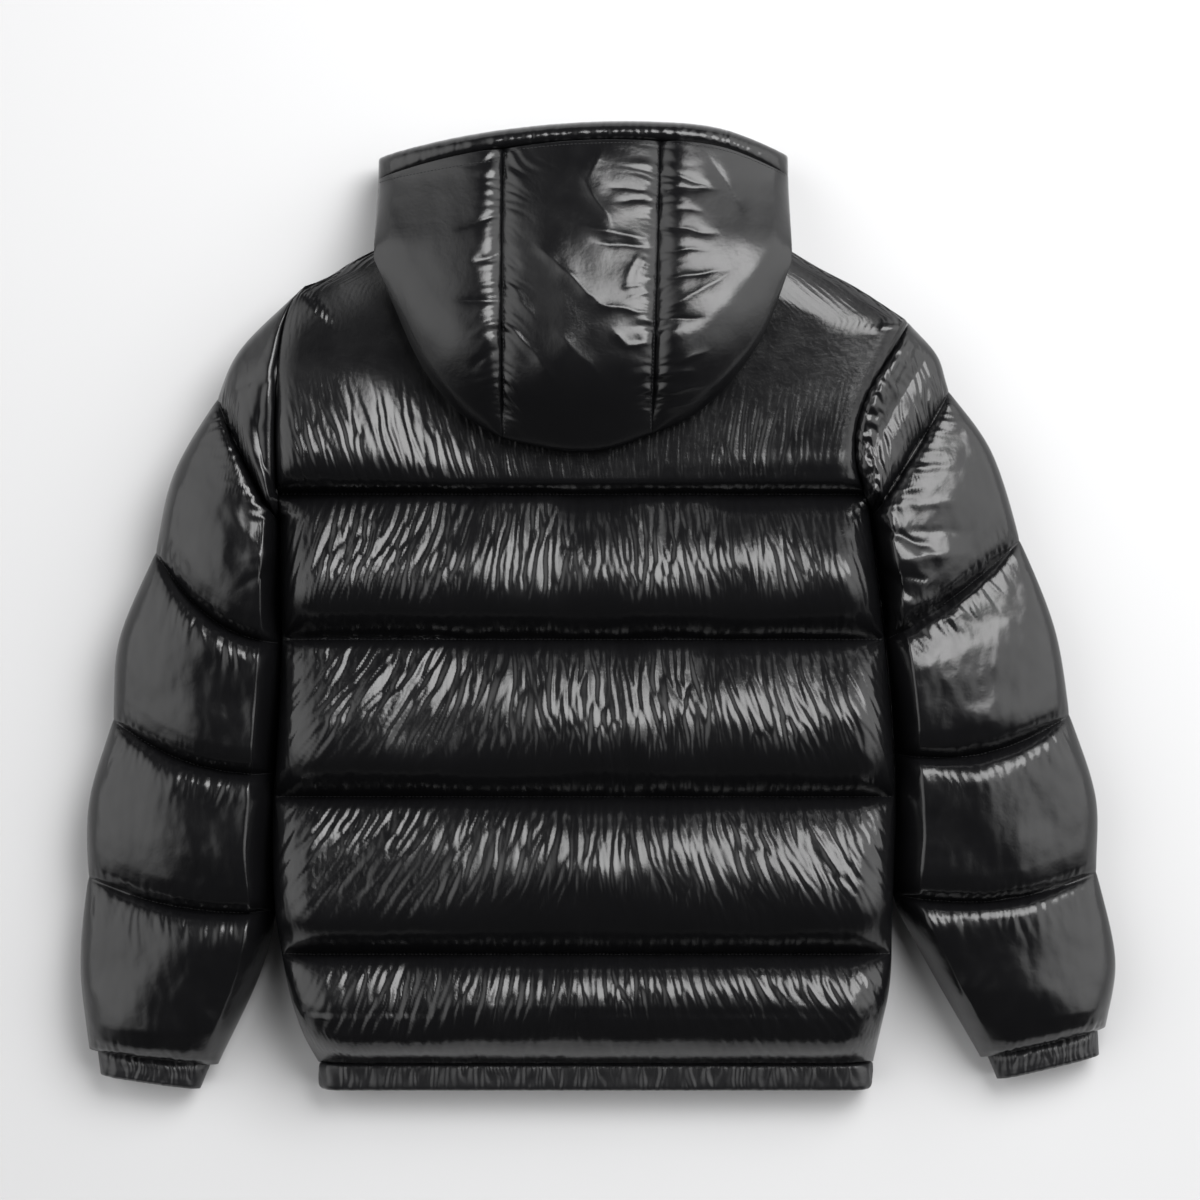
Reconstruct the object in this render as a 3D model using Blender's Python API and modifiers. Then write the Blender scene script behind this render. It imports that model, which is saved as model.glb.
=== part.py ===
"""Hooded puffer jacket, men's medium, laid flat on its front so that the back and the hood show.

Metres, +Z up. The jacket lies on z = 0, its hood towards +Y and the wearer's left side at -X.
Lengths in the tables are millimetres. Each padded panel is raised on its outer side between the
lines of quilting and plain on its inner side. The front panels and the underside of the sleeves
rest flat on the surface.
"""

import math
from collections import namedtuple

import bmesh
import bpy
import numpy as np
from mathutils import Matrix

MM = 0.001
SEAM_GAP = 0.3  # between two pieces that are sewn together, or lie on each other

# Heights of the layers over the surface.
BODY_MID = 44.0  # where the back lies on the fronts
HEM_MID = 19.0  # the same at the hem
NEST_TOP = 77.0  # the back panel, pressed flat under the hood
NEST_MARGIN = 8.0  # how far past the hood's outline it is still flat
NEST_ROUND = 62.0  # width over which it then rises
LAYER_ROWS = ((-371.0, HEM_MID), (-345.0, 33.0), (-318.0, 41.0), (-290.0, BODY_MID), (291.0, BODY_MID))

# Quilting of the body: y of the neck, the four quilted lines and the hem seam.
NECK_Y = 291.0
HEM_Y = -371.0
QUILT_Y = (NECK_Y, 93.5, -24.0, -152.5, -279.5, HEM_Y)
QUILT_WALL = 8.0  # thickness of the padding where it is stitched through
PUFF_WALL = 49.0  # thickness in the middle of a baffle
PUFF_POWER = 0.62  # of its section between two lines: under 1, it is fuller than a sine
HEM_WALL = 19.0  # thickness where the hem band is sewn on
EDGE_WALL = 4.0  # thickness at the side and shoulder seams
# Width of the rounding inside the side, armhole and shoulder seams: (y, width).
EDGE_ROUNDS = ((-371, 36), (60, 36), (100, 18), (225, 18), (262, 46), (291, 46))
UNDER_ROUND = (53.0, 30.0)  # the same under the fronts, at a quilted line and between two
SHOULDER_SLANT = 2.0  # how much wider a row crosses it at the sloping shoulder seams
CRESTS = (1.4, 1.4, 1.2, 0.85)  # of each baffle from the second on: over 1, its filling lies nearer its lower line
# Thickness of the first baffle at its left and at its right: (y, thickness).
YOKE_LEFT = ((93.5, 8), (96, 22), (99, 36), (106, 49), (120, 49), (140, 44), (160, 39), (180, 35), (195, 33.5),
             (215, 33), (291, 33))
YOKE_RIGHT = ((93.5, 8), (96, 20), (101, 31), (110, 37), (130, 38), (160, 37), (190, 35), (215, 34), (250, 33),
              (291, 33))
YOKE_CHANGE = (-80, 60)  # x where the one turns into the other
BAFFLE_ROWS = (0.0, 0.07, 0.22, 0.47, 0.72, 0.9)  # rows of a baffle, as shares of its height
NECK_ROWS = (285.0, 277.0, 270.0)  # more rows where the shoulders slope
ROW_APART = 6.5  # rows closer than this are left out
EDGE_COLUMNS = (0.0, 0.005, 0.014, 0.03, 0.055)  # columns at a rounded edge, as shares of the width
EDGE_STEP = 0.09  # where the even columns between them begin
UNDER_COLUMNS = (0.0, 0.05, 0.16, 0.34, 0.6, 1.0)  # columns of the rounding under a side
GATHERS = 16  # soft gathers across each baffle of the back
GATHER_HEIGHT = 2.2
GATHER_START = 8.0  # how far from a seam a gather is full
GATHER_FADE = 30.0  # how far from a seam it softens
GATHER_LEFT = 0.45  # share of it that is left between two seams

# Shoulder and side seams of the body: (y, x).
LEFT_SHOULDER = ((262, -236), (270, -218), (280, -203), (294, -176))
RIGHT_SHOULDER = ((233, 252), (244, 236), (262, 208), (276, 181), (291, 156))
LEFT_SIDE = ((-371, -230), (-350, -239), (-329, -246), (-280, -257), (-24, -257), (74, -258))
RIGHT_SIDE = ((-371, 226), (-350, 229), (-305, 237), (-248, 239), (-150, 241), (-46, 235), (7, 229), (82, 220))

# Armholes: shoulder tip, underarm point, depth of the bow and where along the seam it is deepest.
Armhole = namedtuple("Armhole", "tip pit bow deepest top")
ARMHOLES = {
    "left": Armhole(tip=(-236, 262), pit=(-258, 74), bow=-14, deepest=0.29, top=75),
    "right": Armhole(tip=(252, 233), pit=(220, 82), bow=-26, deepest=0.56, top=75),
}
ARMHOLE_ROWS = (0.04, 0.13, 0.3, 0.5, 0.7, 0.87, 0.96)  # shares of an armhole's height
EDGE_POINTS = 260  # along one edge of the body, where the distance to it is measured

# Sleeves, a row for each seam (whole numbers) and each middle of a baffle. The inner edge of a row
# whose inner_x is None lies against the side of the body. sag is how far the row bows to the cuff.
SleeveRow = namedtuple("SleeveRow", "seam outer_x outer_y inner_x inner_y sag mid top")
SLEEVES = {
    "left": (
        SleeveRow(0.0, -236, 262, -258, 74, 0, 44, 75),
        SleeveRow(0.5, -286, 215, None, 72.5, 0, 43, 86),
        SleeveRow(1.0, -311, 171, None, 70, 0, 42, 73),
        SleeveRow(1.5, -344, 110, None, 20, 9, 41, 88),
        SleeveRow(2.0, -362, 46, None, -28, 18, 39, 71),
        SleeveRow(2.5, -389, -25, None, -80, 15, 38, 84),
        SleeveRow(3.0, -397, -90, None, -134, 12, 36, 68),
        SleeveRow(3.5, -414, -156, None, -190, 10, 34, 80),
        SleeveRow(4.0, -418, -219, None, -246, 9, 31, 63),
        SleeveRow(4.5, -423, -295, -277, -300, 5, 27, 70),
        SleeveRow(5.0, -418, -361, -312, -374, 0, 19, 39),
    ),
    "right": (
        SleeveRow(0.0, 252, 233, 220, 82, 0, 44, 75),
        SleeveRow(0.5, 274, 208, None, 79, 0, 43, 86),
        SleeveRow(1.0, 287, 177, None, 75, 0, 42, 73),
        SleeveRow(1.5, 319, 128, None, 25, 3, 41, 88),
        SleeveRow(2.0, 345, 56, None, -25, 4, 39, 71),
        SleeveRow(2.5, 371, -16, None, -72, 8, 38, 84),
        SleeveRow(3.0, 386, -86, None, -118, 14, 36, 68),
        SleeveRow(3.5, 405, -153, None, -176, 13, 34, 80),
        SleeveRow(4.0, 409, -215, None, -233, 12, 31, 63),
        SleeveRow(4.5, 423, -288, 269, -290, 6, 27, 70),
        SleeveRow(5.0, 417, -343, 314, -368, 0, 19, 39),
    ),
}
SLEEVE_BAFFLES = 5
SLEEVE_CREST = 0.75  # of each baffle: under 1, its filling lies nearer its upper seam
SLEEVE_POWER = 0.5  # of its section along the sleeve
SLEEVE_RIDGE = 0.76  # share of the width from the outer edge to the ridge beside the body
SLEEVE_EDGE = (0.1, 0.3)  # width of the rounding at the outer edge, and how much of the height it takes
RIDGED = ((0.0, 0.0), (0.5, 1.0), (4.2, 1.0), (5.0, 0.0))  # seam, how far the section has its ridge
SLEEVE_ROWS = (0.0, 0.1, 0.28, 0.52, 0.76, 0.92)  # rows of a sleeve's baffle
SLEEVE_CLEARANCE = 1.5  # between a sleeve and the side of the body
SLEEVE_UNDER = 36.0  # width of the rounding under a sleeve's two sides, at most a third of its width
SLEEVE_PUCKER = 1.8
PUCKER_REACH = 0.1  # share of a baffle by which a pucker is full
PUCKER_FADE = 4.0
SLIT = 2.0  # height of the flat hollow inside a sleeve or a cuff

# Cuffs: where they begin and end along the sleeve's last seam, and their two corners at the hand,
# the outer one first.
Cuff = namedtuple("Cuff", "begins ends outer_hand inner_hand")
CUFFS = {
    "left": Cuff(0.06, 0.94, (-409, -382), (-327, -394)),
    "right": Cuff(0.06, 0.94, (412, -366), (328, -386)),
}
CUFF_GATHERS = 12
CUFF_TOP = 36.0
CUFF_ROUND = 17.0  # width of the rounding at its two sides
CUFF_SQUARE = 3.4  # power of its arch: higher is flatter on top
CUFF_CROWD = 0.25  # how much closer its columns lie at the two sides
CUFF_HOLLOW = 0.74  # width of its flat hollow, as a share of its own
CUFF_SWELL = ((0.0, 0.88), (0.25, 1.0), (0.75, 1.0), (1.0, 0.8))  # fullness from the wrist to the hand
CUFF_GATHER_HEIGHT = 1.6

# Hem band: a gathered strip from the zip round the left side, across the back and round to the zip.
HEM_BOTTOM = -394.0
HEM_ENDS = (-231.0, 227.0)
HEM_GATHERS = 26
HEM_THICK = 16.5
HEM_TURNS = 6  # steps of its half round at each side
HEM_GATHER_HEIGHT = 1.5
HEM_EDGE = 6.0  # width of the rounding along its two edges
HEM_TOP_SHARE, HEM_BOTTOM_SHARE = 0.86, 0.8  # thickness at those edges
HEM_EDGE_GATHER = 0.6

# Hood: outline of the crown that lies on the back (x, y), and the rim of the face opening.
HOOD_X = (-179.0, 155.0)
HOOD_CROWN = ((-179, 280), (-174, 268), (-162, 240), (-146, 204), (-121, 167), (-89, 143), (-48, 130),
              (-15, 126), (10, 128), (43, 139), (84, 159), (112, 188), (137, 229), (149, 262), (155, 280))
HOOD_STITCH = ((-179, 349), (-128, 360), (-78, 368), (-20, 374), (43, 375), (100, 370), (155, 352))
HOOD_RIM = ((-179, 368), (-128, 379), (-78, 387), (-20, 393), (43, 394), (100, 389), (155, 370))
CROWN_POINTS, FLANK_POINTS = 100, 4  # along its outline, where the distance to it is measured
# Height of the hood along its middle, and of its two side folds: (y, z).
HOOD_HEIGHT = ((126, 112), (160, 124), (205, 130), (235, 128.5), (270, 122.5), (300, 115), (330, 105.5), (355, 96.5),
               (375, 88.5), (385, 84))
HOOD_FOLD = ((100, 86), (250, 86), (275, 84.5), (291, 80.5), (310, 66), (330, 50), (345, 40), (360, 36), (400, 36))
HOOD_SEAM_LEFT = ((126, -76), (394, -76))
HOOD_SEAM_RIGHT = ((126, 43), (394, 51))
HOOD_ROWS = (0.0, 0.06, 0.13, 0.21, 0.29, 0.37, 0.45, 0.53, 0.61, 0.69, 0.77, 0.85, 0.92, 0.97, 1.0)
HOOD_COLUMNS = {
    "hood_left": (0.0, 0.04, 0.12, 0.26, 0.45, 0.64, 0.8, 0.91, 1.0),
    "hood_centre": (0.0, 0.08, 0.2, 0.36, 0.52, 0.68, 0.82, 0.93, 1.0),
    "hood_right": (0.0, 0.09, 0.2, 0.36, 0.55, 0.74, 0.88, 0.96, 1.0),
}
HOOD_SIDE_ROUND = 118.0  # how far from its side folds the hood goes on rising
HOOD_CROWN_ROUND = 72.0  # the same from its crown
HOOD_EDGE = (15.0, 0.2)  # width of the rounding at both, and how much of the height it takes
HOOD_SEAM_DEPTH = 10.0
HOOD_SEAM_WIDTH = 7.0  # how fast a seam's trough fills
HOOD_SEAM_CLOSE = 4.0  # the same in the centre panel
HOOD_PUFF = (6.0, 60.0)  # how much lower the centre panel still is beside a seam, and how far that reaches
HOOD_PUCKER = 2.5
HOOD_PUCKER_WIDTH = 24.0
HOOD_LEVEL = 20.0  # height over the side fold from which seams and puckers are full
HOOD_FOLD_HALF = 4.0  # half the thickness where the hood folds at its sides
HOOD_UNDER_ROUND = 24.0
HOOD_UNDER_ROWS = (0.0, 2.0, 7.0, 14.0, 24.0)  # how far in from the crown its lower side has rows
HOOD_UNDER_END = 30.0  # where those rows would reach the neck
HOOD_MIDDLE_Y = 260.0  # where a panel's columns are measured
LIP_TOP = (30.0, 46.0)  # the lower lip of the face opening, at its two ends and in the middle
LIP_EDGE = 25.0  # height of the lip's underside at its two ends
LIP_ROUND = 34.0  # width over which its underside comes down to the surface
LIP_NOSE = (9.0, 4.0)  # depth and height of the rounding under the lip's front
MOUTH = 3.0  # height of the face opening between its lips
MOUTH_END_Y = 330.0
MOUTH_WALL = 3.0  # between the opening's end and the stitching
MOUTH_SIDE = 22.0  # how far from the side folds it is full
RIM_DROP = 3.0  # how far the channel stays below the hood beside it
RIM_LEAST = 5.0  # its least thickness
RIM_PROFILE = ((0.0, 0.0), (0.0, 0.87), (0.35, 1.0), (0.7, 0.87), (0.94, 0.5), (1.0, 0.0))  # depth, height
RIM_APART = 1.0  # columns closer than this are left out

# Zip: the front closes on it, under the body.
ZIP_X = -9.0
ZIP_HALF = 8.0  # half the space between the fronts
ZIP_TAPE = (7.6, 9.0)
ZIP_CHAIN = (6.2, 10.4)
ZIP_CHAIN_HALF = 3.0
SLIDER_Y = 262.0
SLIDER_SIZE = (9.0, 13.0, 2.2)
SLIDER_ROUND = 0.8
LUG_SIZE = (1.6, 4.4, 3.6)
LUG_BELOW_PIN = 1.2
LUG_CLEARANCE = 0.4  # between a lug and the tab
PIN_Z = 1.9
PIN_RADIUS = 0.55
TAB_SIZE = (3.6, 30.0, 1.2)
TAB_HOLE_RADIUS = 0.95
TAB_EYE_RADIUS = 1.4
EYE_TURN = 160  # degrees each way round the eye, 0 pointing away from the plate
EYE_POINTS = 17
HOLE_TURN = 172  # the hole goes on to here
ZIP_END = 2.0  # how far the zip stops short of the hem's edge

FABRIC = ("black_shell_fabric", (0.012, 0.012, 0.014, 1.0), 0.28, 0.0)
BAND = ("black_gathered_band", (0.010, 0.010, 0.011, 1.0), 0.42, 0.0)
TAPE = ("black_zip", (0.020, 0.020, 0.021, 1.0), 0.55, 0.0)
METAL = ("dark_zip_metal", (0.060, 0.060, 0.065, 1.0), 0.32, 0.9)


# ---------------------------------------------------------------- shapes

def curve(table, at):
    """Reads a smooth curve through the (key, value) rows of a table, whose keys rise."""
    keys, values = np.array(table, float).T
    slopes = np.gradient(values, keys)
    at = np.clip(np.asarray(at, float), keys[0], keys[-1])
    i = np.clip(np.searchsorted(keys, at) - 1, 0, len(keys) - 2)
    width = keys[i + 1] - keys[i]
    t = (at - keys[i]) / width
    blend = t * t * (3 - 2 * t)
    return (values[i] * (1 - blend) + values[i + 1] * blend
            + width * t * (1 - t) * (slopes[i] * (1 - t) - slopes[i + 1] * t))


def line(table, at):
    keys, values = np.array(table, float).T
    return np.interp(at, keys, values)


def rounding(share):
    """A quarter circle's height over a share of its width, from 0 at the edge to 1."""
    return np.sqrt(1 - (1 - np.clip(share, 0, 1)) ** 2)


def ease(low, high, at):
    """0 below low, 1 above high and smooth between them."""
    t = min(max((at - low) / (high - low), 0.0), 1.0)
    return t * t * (3 - 2 * t)


def mix(first, second, share):
    return first + (second - first) * share


def arch(u, power=2.3):
    """Height across a flattened tube, 0 at both edges and 1 in the middle."""
    return np.sqrt(np.clip(1 - np.abs(2 * np.asarray(u, float) - 1) ** power, 0, 1))


def zigzag(count):
    """1 and -1 in turn: the crests and troughs of gathers."""
    return np.where(np.arange(count) % 2, -1.0, 1.0)


# ---------------------------------------------------------------- Blender

def clear_scene():
    for thing in list(bpy.data.objects):
        bpy.data.objects.remove(thing)
    for mesh in list(bpy.data.meshes):
        bpy.data.meshes.remove(mesh)


def finish_of(look):
    """The Principled material of a (name, colour, roughness, metallic) row."""
    name, colour, roughness, metallic = look
    made = bpy.data.materials.get(name)
    if made:
        return made
    made = bpy.data.materials.new(name)
    made.use_nodes = True
    shader = made.node_tree.nodes["Principled BSDF"]
    shader.inputs["Base Color"].default_value = colour
    shader.inputs["Roughness"].default_value = roughness
    shader.inputs["Metallic"].default_value = metallic
    return made


def collection(name):
    made = bpy.data.collections.get(name)
    if not made:
        made = bpy.data.collections.new(name)
        bpy.context.scene.collection.children.link(made)
    return made


def object_from(name, bm, look, group="puffer_jacket", sharp=50):
    """An object of a bmesh drawn in millimetres, with its faces turned outwards and shaded smooth."""
    bmesh.ops.recalc_face_normals(bm, faces=bm.faces)
    if bm.calc_volume(signed=True) < 0:
        bmesh.ops.reverse_faces(bm, faces=bm.faces)
    bmesh.ops.scale(bm, vec=(MM, MM, MM), verts=bm.verts)
    mesh = bpy.data.meshes.new(name)
    bm.to_mesh(mesh)
    bm.free()
    mesh.materials.append(finish_of(look))
    mesh.shade_smooth()
    mesh.set_sharp_from_angle(angle=math.radians(sharp))
    made = bpy.data.objects.new(name, mesh)
    collection(group).objects.link(made)
    return made


def add_rings(bm, rings):
    """Faces from each ring of points to the next. Returns the vertices, ring by ring."""
    verts = [[bm.verts.new(point) for point in ring] for ring in rings]
    for ring, after in zip(verts, verts[1:]):
        for j, corner in enumerate(ring):
            k = (j + 1) % len(ring)
            bm.faces.new((corner, ring[k], after[k], after[j]))
    return verts


def loft(name, rings, look):
    """A closed solid through rings of points, with a flat face at each end."""
    bm = bmesh.new()
    verts = add_rings(bm, rings)
    bm.faces.new(verts[0])
    bm.faces.new(verts[-1])
    return object_from(name, bm, look)


def flat_tube(name, outer, inner, look):
    """A flattened tube, open at both ends: outer and inner rings have as many points each."""
    bm = bmesh.new()
    outside = add_rings(bm, outer)
    inside = add_rings(bm, inner)
    for rim, hole in ((outside[0], inside[0]), (outside[-1], inside[-1])):
        for j, corner in enumerate(rim):
            k = (j + 1) % len(rim)
            bm.faces.new((corner, rim[k], hole[k], hole[j]))
    return object_from(name, bm, look)


# ---------------------------------------------------------------- body

def armhole_x(side, y):
    """x of an armhole seam at height y, between its tip and its underarm point."""
    hole = ARMHOLES[side]
    u = np.clip((hole.tip[1] - y) / (hole.tip[1] - hole.pit[1]), 0, 1)
    straight = hole.tip[0] + (hole.pit[0] - hole.tip[0]) * u
    power = math.log(0.5) / math.log(hole.deepest)
    return straight + hole.bow * np.sin(math.pi * u ** power)


def body_edge(side, y):
    """x of the body's edge: shoulder seam, armhole and side seam."""
    hole = ARMHOLES[side]
    shoulder, flank = (LEFT_SHOULDER, LEFT_SIDE) if side == "left" else (RIGHT_SHOULDER, RIGHT_SIDE)
    if y > hole.tip[1]:
        return float(curve(shoulder, y))
    if y > hole.pit[1]:
        return float(armhole_x(side, y))
    return float(curve(flank, y))


def edge_wall(side, y):
    """Thickness of the back panel at its edge: thin at a seam, open at the armhole."""
    hole = ARMHOLES[side]
    u = (hole.tip[1] - y) / (hole.tip[1] - hole.pit[1])
    opening = arch(u) if 0 < u < 1 else 0.0
    return EDGE_WALL + (hole.top - BODY_MID - EDGE_WALL) * float(opening)


def baffle(y):
    """(share, height) of row y in its baffle, the share running from the upper line to the lower."""
    for upper, lower in zip(QUILT_Y, QUILT_Y[1:]):
        if y >= lower:
            return (upper - y) / (upper - lower), upper - lower
    return 1.0, QUILT_Y[-2] - QUILT_Y[-1]


def padding(x, y):
    """Thickness of the padding of the back, away from its edges."""
    share, _ = baffle(y)
    number = sum(y < quilted for quilted in QUILT_Y[1:-1])
    if number == 0:
        return float(mix(curve(YOKE_LEFT, y), curve(YOKE_RIGHT, y), ease(*YOKE_CHANGE, x)))
    low = HEM_WALL if number == len(CRESTS) and share > 0.5 else QUILT_WALL
    return mix(low, PUFF_WALL, math.sin(math.pi * share ** CRESTS[number - 1]) ** PUFF_POWER)


def body_rows():
    """Every row of the body, top to bottom: baffles, armholes and their ends."""
    kept = [float(y) for y in QUILT_Y]
    for hole in ARMHOLES.values():
        kept += [hole.tip[1], hole.pit[1]]
    wanted = [upper + (lower - upper) * share
              for upper, lower in zip(QUILT_Y, QUILT_Y[1:]) for share in BAFFLE_ROWS]
    for hole in ARMHOLES.values():
        wanted += [hole.tip[1] + (hole.pit[1] - hole.tip[1]) * share for share in ARMHOLE_ROWS]
    for y in [*wanted, *NECK_ROWS]:
        if min(abs(y - other) for other in kept) > ROW_APART:
            kept.append(y)
    return sorted(kept, reverse=True)


def hood_outline():
    """Points close together along the part of the hood's outline that lies on the back."""
    across = np.linspace(*HOOD_X, CROWN_POINTS)
    crown = np.column_stack([across, curve(HOOD_CROWN, across)])
    up = np.linspace(HOOD_CROWN[0][1], NECK_Y, FLANK_POINTS)
    sides = [np.column_stack([np.full(len(up), x), up]) for x in HOOD_X]
    return np.vstack([crown, *sides])


HOOD_OUTLINE = hood_outline()


def outside_hood(x, y):
    """How far a point of the back lies outside the hood's outline; negative under the hood."""
    far = float(np.hypot(*(HOOD_OUTLINE - (x, y)).T).min())
    under = HOOD_X[0] < x < HOOD_X[1] and y > float(curve(HOOD_CROWN, x))
    return -far if under else far


def edge_line(side):
    """Points close together down one edge of the body."""
    down = np.linspace(NECK_Y, HEM_Y, EDGE_POINTS)
    return np.column_stack([[body_edge(side, y) for y in down], down])


EDGE_LINES = {side: edge_line(side) for side in ARMHOLES}


def thickness(x, y, full):
    """Thickness of the back at a point: full in the middle, and rounded down to each edge."""
    walls = []
    for side, points in EDGE_LINES.items():
        far = np.hypot(*(points - (x, y)).T)
        nearest = int(far.argmin())
        away = min(float(far[nearest]), abs(x - body_edge(side, y)))
        nearest_y = float(points[nearest][1]) if away > 0 else y
        walls.append(mix(edge_wall(side, nearest_y), full, float(rounding(away / line(EDGE_ROUNDS, nearest_y)))))
    return min(walls)


def back_columns():
    """Shares across a row of the back: close together at the rounded edges, even between them."""
    inner = np.linspace(EDGE_STEP, 1 - EDGE_STEP, 2 * GATHERS + 1)
    return np.concatenate([EDGE_COLUMNS, inner, 1 - np.array(EDGE_COLUMNS)[::-1]]), len(EDGE_COLUMNS)


def back_row(y):
    """One row of the back panel: points across its outer side, then the two of its plain inner side."""
    shares, skip = back_columns()
    left, right = body_edge("left", y), body_edge("right", y)
    under = float(line(LAYER_ROWS, y)) + SEAM_GAP / 2
    share, height = baffle(y)
    near = min(share, 1 - share) * height
    gather = GATHER_HEIGHT * min(near / GATHER_START, 1)
    gather *= GATHER_LEFT + (1 - GATHER_LEFT) * math.exp(-near / GATHER_FADE)
    swing = np.zeros(len(shares))
    swing[skip:-skip] = zigzag(len(shares) - 2 * skip)
    points = []
    for u, wave in zip(shares, swing):
        x = left + (right - left) * u
        free = ease(NEST_MARGIN, NEST_MARGIN + NEST_ROUND, outside_hood(x, y))
        z = under + thickness(x, y, padding(x, y)) + wave * gather * free
        if z > NEST_TOP:
            z = NEST_TOP + (z - NEST_TOP) * free
        points.append((x, y, z))
    return points + [(right, y, under), (left, y, under)]


def make_back():
    loft("back", [back_row(y) for y in body_rows()], FABRIC)


def front_row(side, y):
    """One row of a front panel: its flat underside, rounded at the side, and its plain inner side."""
    share, _ = baffle(y)
    over = float(line(LAYER_ROWS, y)) - SEAM_GAP / 2
    edge = body_edge(side, y)
    inward = 1 if side == "left" else -1
    zip_edge = ZIP_X - inward * ZIP_HALF
    wall = min(edge_wall(side, y), over)
    pinched, full = UNDER_ROUND
    reach = pinched + (full - pinched) * math.sin(math.pi * share) ** PUFF_POWER
    if y > ARMHOLES[side].tip[1]:
        reach *= SHOULDER_SLANT
    points = []
    for column in UNDER_COLUMNS:
        z = (over - wall) * (1 - float(rounding(column)))
        points.append((edge + inward * reach * column, y, z))
    return points + [(zip_edge, y, 0.0), (zip_edge, y, over), (edge, y, over)]


def make_fronts():
    for side in ("left", "right"):
        loft(f"front_{side}", [front_row(side, y) for y in body_rows()], FABRIC)


# ---------------------------------------------------------------- sleeves and cuffs

def sleeve_columns(side):
    """Shares across a sleeve's row: at the armhole they meet the rows of the body."""
    hole = ARMHOLES[side]
    return [(hole.tip[1] - y) / (hole.tip[1] - hole.pit[1])
            for y in body_rows() if hole.pit[1] <= y <= hole.tip[1]]


def sleeve_station(side, seam):
    """The values of a sleeve's table at a place between two seams."""
    rows = SLEEVES[side]
    outward = -1 if side == "left" else 1
    inner_x = []
    for row in rows:
        against = body_edge(side, row.inner_y) + outward * SLEEVE_CLEARANCE
        inner_x.append(against if row.inner_x is None else row.inner_x)
    plain = ("outer_x", "outer_y", "inner_y", "sag", "mid")
    tables = {name: [getattr(row, name) for row in rows] for name in plain}
    tables["inner_x"] = inner_x
    keys = [row.seam for row in rows]
    return {name: float(curve(list(zip(keys, values)), seam)) for name, values in tables.items()}


def sleeve_top(side, seam):
    """Height of a sleeve's ridge: full between two seams and drawn in at each."""
    rows = {row.seam: row for row in SLEEVES[side]}
    above = min(int(seam), SLEEVE_BAFFLES - 1)
    share = seam - above
    low = mix(rows[above].top, rows[above + 1].top, share)
    return mix(low, rows[above + 0.5].top, math.sin(math.pi * share ** SLEEVE_CREST) ** SLEEVE_POWER)


def sleeve_rise(seam, columns):
    """Height across a sleeve, from 0 to 1: it climbs from its outer edge to a ridge beside the body."""
    u = np.asarray(columns, float)
    wide, share = SLEEVE_EDGE
    outer = mix(1 - (1 - np.clip(u / SLEEVE_RIDGE, 0, 1)) ** 2, rounding(u / wide), share)
    inner = rounding((1 - u) / (1 - SLEEVE_RIDGE))
    return mix(arch(u), np.minimum(outer, inner), line(RIDGED, seam))


def sleeve_ring(side, seam, columns):
    """The outer ring and the ring of the flat hollow of one row of a sleeve."""
    at = sleeve_station(side, seam)
    outward = -1 if side == "left" else 1
    near_armhole = max(0.0, 1 - seam)
    middle = []
    for u in columns:
        x = at["outer_x"] + (at["inner_x"] - at["outer_x"]) * u
        y = at["outer_y"] + (at["inner_y"] - at["outer_y"]) * u - at["sag"] * math.sin(math.pi * u)
        hole = ARMHOLES[side]
        seam_y = hole.tip[1] + (hole.pit[1] - hole.tip[1]) * u
        straight = hole.tip[0] + (hole.pit[0] - hole.tip[0]) * u
        x += near_armhole * (float(armhole_x(side, seam_y)) - straight) + outward * SEAM_GAP
        middle.append((x, y))
    middle = np.array(middle)
    share = seam - int(seam)
    near_seam = min(share, 1 - share)
    puckered = SLEEVE_PUCKER * min(near_seam / PUCKER_REACH, 1) * math.exp(-PUCKER_FADE * near_seam)
    width = float(np.linalg.norm(middle[0] - middle[-1]))
    rise = sleeve_rise(seam, columns)
    upper = at["mid"] + (sleeve_top(side, seam) - at["mid"]) * rise + puckered * zigzag(len(columns)) * rise
    reach = min(SLEEVE_UNDER, width / 3)
    lower = at["mid"] * (1 - rounding(np.minimum(columns, 1 - np.array(columns)) * width / reach))
    outer = ring_of(middle, upper, lower)
    inside = middle[np.clip(np.arange(len(columns)), 1, len(columns) - 2)]
    level = np.full(len(columns), at["mid"])
    return outer, ring_of(inside, level + SLIT / 2, level - SLIT / 2)


def ring_of(plan, upper, lower):
    """A closed ring over the plan points: along the upper heights, then back along the lower ones."""
    there = [(x, y, z) for (x, y), z in zip(plan, upper)]
    back = [(x, y, z) for (x, y), z in zip(plan, lower)]
    first = (*plan[0], (upper[0] + lower[0]) / 2)
    last = (*plan[-1], (upper[-1] + lower[-1]) / 2)
    return [first, *there[1:-1], last, *back[-2:0:-1]]


def make_sleeves():
    for side in ("left", "right"):
        columns = sleeve_columns(side)
        seams = [whole + share for whole in range(SLEEVE_BAFFLES) for share in SLEEVE_ROWS]
        seams.append(float(SLEEVE_BAFFLES))
        rings = [sleeve_ring(side, seam, columns) for seam in seams]
        outer = [ring for ring, _ in rings]
        hollow = [ring for _, ring in rings][::len(SLEEVE_ROWS)]
        flat_tube(f"sleeve_{side}", outer, hollow, FABRIC)


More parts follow.
